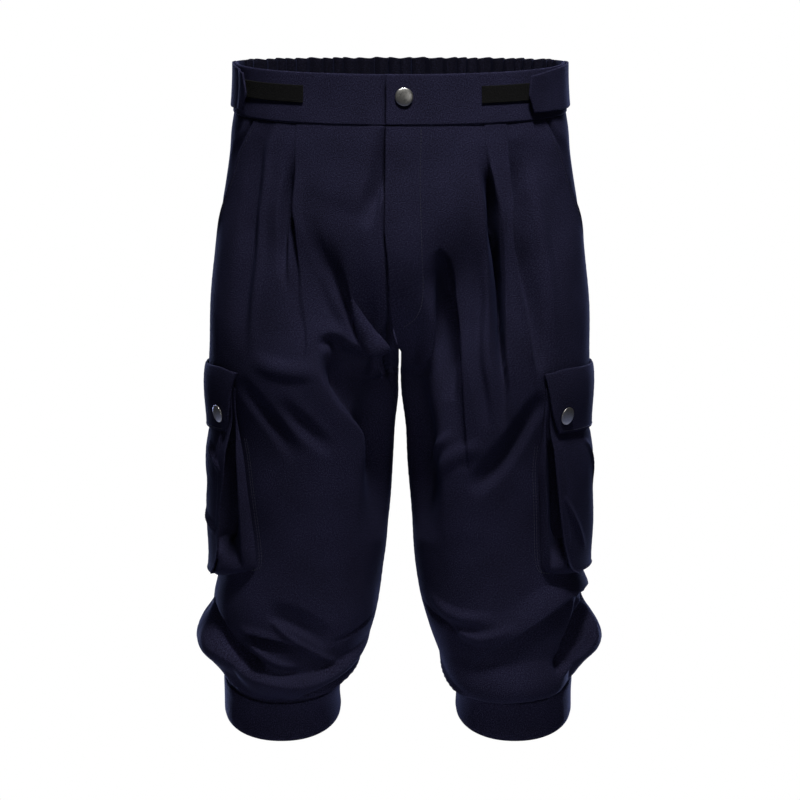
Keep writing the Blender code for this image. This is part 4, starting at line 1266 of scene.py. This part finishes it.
def makeGusset(side, label):
    stations = through(pocket[side], 241)
    shares = (spaced(0, 60, 1.2) / 60)[None, :]
    columns = ("reach", "beyond", "height")
    reach, beyond, height = (np.interp(shares, bellows["share"], bellows[name]) for name in columns)
    seamAngle, seamLevel, faceAngle, faceLevel, proud = (stations[:, i : i + 1] for i in range(5))
    plain = ramp(seamLevel, *bellows["plainStart"])
    reach = reach + (shares - reach) * plain
    beyond = beyond * (1 - 0.9 * plain)
    height = height + (np.minimum(1, shares / 0.7) - height) * plain
    underAngle = bellows["under"] * (faceAngle.mean() - faceAngle)
    underLevel = bellows["under"] * (bellows["middle"] - faceLevel) * ramp(seamLevel, *bellows["levelStart"])
    angles = seamAngle + (faceAngle - seamAngle) * reach + underAngle * beyond
    levels = seamLevel + (faceLevel - seamLevel) * reach + underLevel * beyond
    onLeg = garment["cloth"] + 3 * garment["gap"]
    rolled = 0.6 * face["rollHeight"] * ramp(faceLevel, *face["rollStart"])
    underFace = proud - garment["cloth"] - 1.6 * garment["gap"] + rolled
    off = onLeg + (underFace - onLeg) * height - pocketHollow(side, angles, levels) * (1 - height)
    outer = skin(side, angles, levels, off, hollow=0)
    piece = clothWall(f"wool_cargo_gusset_{label}", outer, garment["cloth"], wool, side)
    return dress(piece, f"cargo_gusset_{label}")


def faceEdges(side, level):
    stations = np.array(pocket[side], float)
    lastFront, firstBack = bottomStations
    front = through(stations[: lastFront + 1])[::-1]
    back = through(stations[firstBack:])
    return (
        np.interp(level, front[:, 3], front[:, 2]),
        np.interp(level, back[:, 3], back[:, 2]),
        np.interp(level, front[:, 3], front[:, 4]),
    )


def makeFace(side, label):
    bottom = pocket[side][bottomStations[0]][3]
    levels = spaced(face["top"], bottom, face["step"])
    front, back, proud = faceEdges(side, levels)
    angles = columnsBetween([front, back], face["cells"], pocketArc)
    fromEdge = np.minimum(np.abs(angles - front[:, None]), np.abs(angles - back[:, None])) * 1.6
    rolled = face["rollHeight"] * np.exp(-((fromEdge / face["rollWidth"]) ** 2))
    rolled = rolled * ramp(levels, *face["rollStart"])[:, None]
    creased = foldMove(faceFolds[side], angles, np.broadcast_to(levels[:, None], angles.shape))[0]
    outer = skin(side, angles, levels[:, None], proud[:, None] + rolled + creased, hollow=0)
    piece = clothWall(f"wool_cargo_face_{label}", outer, garment["cloth"], wool, side)
    return dress(piece, f"cargo_face_{label}")


def makeFlap(side, label):
    top, bottom = flap["level"][0], flap["level"][-1]
    levels = spaced(top, bottom, flap["step"])
    front = flapFront(side, levels)
    back = flap["back"][side] - (flapFront(-1, levels) - flap["frontRight"][-1]) * 0.6
    angles = columnsBetween([front, back], flap["cells"], pocketArc)
    proud = smoothColumn(flap, "proud", levels)[:, None]
    front, levels = front[:, None], levels[:, None]
    hung = flap["cornerDrop"] * ramp(angles, front - flap["cornerZone"], front) * ramp(levels, bottom, top)
    outer = skin(side, angles, levels - hung, proud)
    piece = clothWall(f"wool_cargo_flap_{label}", outer, garment["doubleCloth"], wool, side)
    return dress(piece, f"cargo_flap_{label}")


kneeBand = {"step": 2.4, "proud": 0.2, "belly": 1.0, "bellyStart": 5.0, "columns": 260}


def makeKneeBand(side, label):
    levels = spaced(garment["bandTop"], garment["hem"], kneeBand["step"])[:, None]
    fromEnd = np.minimum(garment["bandTop"] - levels, levels - garment["hem"])
    proud = kneeBand["proud"] + kneeBand["belly"] * ramp(fromEnd, 0, kneeBand["bellyStart"])
    angles = np.linspace(180, -180, kneeBand["columns"] + 1)[None, :-1]
    outer = raised(side, angles, levels, proud)
    piece = clothWall(f"wool_knee_band_{label}", outer, garment["doubleCloth"], wool, side, ring=True)
    return dress(piece, f"knee_band_{label}")


snap = {
    "radius": 8.8,
    "sides": 48,
    "bed": 0.25,
    "waist": (178.0, 3.0),  # angle and level
    # each ring of the cap, from its foot up over the rolled rim
    "radiusShare": (0.80, 0.93, 1.0, 0.99, 0.94, 0.86, 0.7, 0.45, 0.2, 0.05),
    "height": (0.0, 0.15, 0.7, 1.2, 1.6, 1.85, 2.15, 2.45, 2.62, 2.66),
}


def placeOn(surface, side, angle, level, off):  # a point and its outward normal on a surface
    across = surface(side, np.array([[angle + 3, angle - 3]]), np.array([[level]]), off)
    down = surface(side, np.array([[angle]]), np.array([[level + 4], [level - 4]]), off)
    normal = unit(np.cross(across[0, 1] - across[0, 0], down[1, 0] - down[0, 0]) * -side)
    return surface(side, np.array([[angle]]), np.array([[level]]), off)[0, 0] + normal * snap["bed"], normal


def makeSnap(node, base, axis):
    turn = Vector(axis).to_track_quat("Z", "Y")
    points, faces = [], []
    count = snap["sides"]
    for share, height in zip(snap["radiusShare"], snap["height"]):
        for i in range(count):
            around = 2 * math.pi * i / count
            r = share * snap["radius"]
            local = Vector((r * math.cos(around), r * math.sin(around), height + garment["gap"]))
            points.append(Vector(base) + turn @ local)
    rings = len(snap["height"])
    for ring in range(rings - 1):
        for i in range(count):
            j = (i + 1) % count
            low, high = ring * count, (ring + 1) * count
            faces.append((low + i, low + j, high + j, high + i))
    faces.append(tuple(range(count))[::-1])
    faces.append(tuple((rings - 1) * count + i for i in range(count)))
    piece = addMesh(f"nickel_{node}", points, faces, snapMetal)
    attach(piece, "root")
    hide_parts(node)
    return piece


stitch = {
    "pitch": 3.2,
    "length": 2.5,
    "radius": 0.3,
    "pocketInsets": (1.6, 3.4),  # degrees outside the cargo pocket's seam
    "pocketStations": (2, 10),  # rows of the pocket's stations that show outside its face
    "mouthInset": 4.5,
    "mouthLevels": (-30, -60, -90, -120, -146),
    "flapLevel": -331.4,
    "flapRead": -331.0,  # the flap's height is read just above, so that the thread beds in
    "flapInset": 2.4,
    "flyPath": ((168, -26), (169, -90), (168.5, -151), (167, -192), (170, -218), (178, -230)),
}


def stitchRun(side, path, off=0.0):  # rods of thread over the cloth along a path of (angle, level)
    line = through(path, 40 * len(path))
    angle, level = line[:, 0], line[:, 1]
    points = skin(side, angle, level, off)
    travelled = np.concatenate([[0], np.cumsum(np.linalg.norm(np.diff(points, axis=0), axis=1))])
    around = skin(side, angle - 0.7, level, off) - skin(side, angle + 0.7, level, off)
    down = skin(side, angle, level - 1, off) - skin(side, angle, level + 1, off)
    normals = unit(np.cross(around, down)) * -side
    runs = []
    for start in np.arange(stitch["pitch"] / 2, travelled[-1] - stitch["length"], stitch["pitch"]):
        ends = [
            [np.interp(at, travelled, values[:, k]) for k in range(3)]
            for at in (start, start + stitch["length"])
            for values in (points, normals)
        ]
        runs.append([np.array(e) for e in ends])
    return runs


def sewSide(side):
    first, last = stitch["pocketStations"]
    seamLine = [station[:2] for station in pocket[side][first:last]]
    flapLevel, inset = stitch["flapLevel"], stitch["flapInset"]
    flapEnds = (flap["front" + columnEnd[side]][-1] - inset, flap["back"][side] + inset)
    runs = []
    for outside in stitch["pocketInsets"]:
        runs += stitchRun(side, [(angle + outside, level) for angle, level in seamLine])
    mouthLine = [(mouthAngle(level) + stitch["mouthInset"], level) for level in stitch["mouthLevels"]]
    runs += stitchRun(side, mouthLine)
    proud = float(smoothColumn(flap, "proud", stitch["flapRead"]))
    runs += stitchRun(side, [(angle, flapLevel) for angle in flapEnds], proud)
    if side > 0:
        runs += stitchRun(side, stitch["flyPath"])
    return runs


# each ring of a rod: its share of the length, its share of the radius, and its lift off the cloth
rodRings = ((0, 0.3, -0.1), (0.15, 0.9, 0.1), (0.85, 0.9, 0.1), (1, 0.3, -0.1))


def makeStitches(name, runs):
    points, faces = [], []
    for start, startNormal, end, endNormal in runs:
        along = unit(end - start)
        normal = unit(startNormal + endNormal)
        beside = np.cross(along, normal)
        first = len(points)
        for share, thickness, lift in rodRings:
            centre = start + (end - start) * share + normal * lift
            r = thickness * stitch["radius"]
            for x, y in ((1, 0), (0, 1), (-1, 0), (0, -1)):
                points.append(centre + r * (x * beside + y * normal))
        for ring in range(3):
            for i in range(4):
                j = (i + 1) % 4
                low = first + 4 * ring
                faces.append((low + i, low + j, low + 4 + j, low + 4 + i))
        faces.append((first + 3, first + 2, first + 1, first))
        faces.append(tuple(first + 12 + i for i in range(4)))
    piece = addMesh(name, points, faces, thread)
    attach(piece, "root")
    return piece


for side, label in sides:
    makeFront(side, label)
    makeBack(side, label)
    makeFacing(side, label)
    print("leg panels made", label)
    makeWaistbandFront(side, label)
    makeTape(side, label)
    makeTab(side, label)
    makeGusset(side, label)
    makeFace(side, label)
    makeFlap(side, label)
    makeKneeBand(side, label)
    snapLevel, inset = flap["snapLevel"], flap["snapInset"]
    proud = float(smoothColumn(flap, "proud", snapLevel))
    for end, angle in (("front", flapFront(side, snapLevel) - inset), ("back", flap["back"][side] + inset)):
        makeSnap(f"flap_snap_{label}_{end}", *placeOn(skin, side, float(angle), snapLevel, proud))
    print("pocket and bands made", label)
makeWaistbandBack()
for side, label in sides:
    runs = sewSide(side)
    print("sewn", label, len(runs))
    makeStitches(f"thread_seams_{label}", runs)
makeSnap("waist_snap", *placeOn(bandSkin, 1, *snap["waist"], waistband["proud"]))


studio = {
    "floorLevel": -1.05,
    "floorSize": 14.0,
    "floorPaint": "#d8d8d8",
    "backdrop": "#ffffff",
    "backdropLight": 0.03,  # share of its light that falls on the cloth, while the lens sees it in full
    "rim": "#b4c2ff",
}
lamps = {  # place and aim in metres, size, watts, and the spread of its grid in degrees
    "keySoftbox": ((0.14, -0.82, 1.6), (0.04, 0, 0.16), (0.3, 0.3), 4.0, 50),
    "fillSoftbox": ((1.3, -2.2, 0.3), (0, 0, -0.3), (0.8, 0.8), 1.4, 180),
    "floorBounce": ((0.0, -1.9, -0.85), (0, 0, -0.7), (0.5, 0.3), 0.27, 28),
    "lowFill": ((0.0, -1.8, -0.1), (0.0, 0, -0.27), (0.06, 0.06), 0.018, 9),
}
rimLamps = {  # one on each side
    "Rim": ((0.7, 1.5, 0.1), (0.1, 0, -0.35), (0.3, 1.4), 16, 180),
    "KneeRim": ((0.75, 0.9, -0.66), (0.14, 0, -0.66), (0.1, 0.1), 0.22, 24),
}
lens = {"distance": 3.0, "pitch": 6.0, "aimHeight": -0.3123, "length": 135, "sensor": 36, "farEnd": 50}


def makeStudio():
    mesh = bpy.data.meshes.new("studioFloor")
    half = studio["floorSize"] / 2
    corners = [(x * half, y * half, studio["floorLevel"]) for x, y in ((-1, -1), (1, -1), (1, 1), (-1, 1))]
    mesh.from_pydata(corners, [], [(0, 1, 2, 3)])
    floor = bpy.data.objects.new("studioFloor", mesh)
    bpy.context.scene.collection.objects.link(floor)
    # matt white paint: pale grey in its own light, and burnt out to plain white where the lens sees it
    material, tree, shader = startMaterial("mattWhiteFloorPaint")
    shader.inputs["Base Color"].default_value = linear(studio["floorPaint"])
    shader.inputs["Roughness"].default_value = 0.9
    glare = addNode(tree, "Emission", {"Color": linear(studio["backdrop"]), "Strength": 1.0})
    seen = addNode(tree, "LightPath")
    both = {0: seen.outputs["Is Camera Ray"], 1: shader.outputs[0], 2: glare.outputs[0]}
    mixed = addNode(tree, "MixShader", {}, both)
    tree.links.new(mixed.outputs[0], tree.nodes["Material Output"].inputs["Surface"])
    mesh.materials.append(material)

    world = bpy.data.worlds.new("studioAir")
    world.use_nodes = True
    bpy.context.scene.world = world
    tree = world.node_tree
    seen = addNode(tree, "LightPath")
    strength = addNode(
        tree,
        "MapRange",
        {"To Min": studio["backdropLight"], "To Max": 1.0},
        {"Value": seen.outputs["Is Camera Ray"]},
    )
    background = tree.nodes["Background"]
    background.inputs["Color"].default_value = linear(studio["backdrop"])
    tree.links.new(strength.outputs["Result"], background.inputs["Strength"])


def addLamp(name, place, aim, size, power, spread, colour="#ffffff"):
    light = bpy.data.lights.new(name, "AREA")
    light.shape = "RECTANGLE"
    light.size, light.size_y = size
    light.spread = math.radians(spread)
    light.energy = power
    light.color = linear(colour)[:3]
    lamp = bpy.data.objects.new(name, light)
    lamp.location = place
    lamp.rotation_euler = (Vector(aim) - Vector(place)).to_track_quat("-Z", "Y").to_euler()
    bpy.context.scene.collection.objects.link(lamp)


def makeCamera():
    pitch = math.radians(lens["pitch"])
    aim = Vector((0, 0, lens["aimHeight"]))
    camera = bpy.data.cameras.new("camera")
    camera.lens = lens["length"]
    camera.sensor_width = lens["sensor"]
    camera.clip_end = lens["farEnd"]
    holder = bpy.data.objects.new("camera", camera)
    holder.location = aim + Vector((0, -math.cos(pitch), math.sin(pitch))) * lens["distance"]
    holder.rotation_euler = (math.pi / 2 - pitch, 0, 0)
    bpy.context.scene.collection.objects.link(holder)
    bpy.context.scene.camera = holder


makeStudio()
for name, (place, aim, size, power, spread) in lamps.items():
    addLamp(name, place, aim, size, power, spread)
for kind, (place, aim, size, power, spread) in rimLamps.items():
    for side, label in sides:
        mirrored = [(side * x, y, z) for x, y, z in (place, aim)]
        addLamp(label + kind, *mirrored, size, power, spread, studio["rim"])
makeCamera()
bpy.context.scene.view_settings.view_transform = "Standard"
print("studio made")
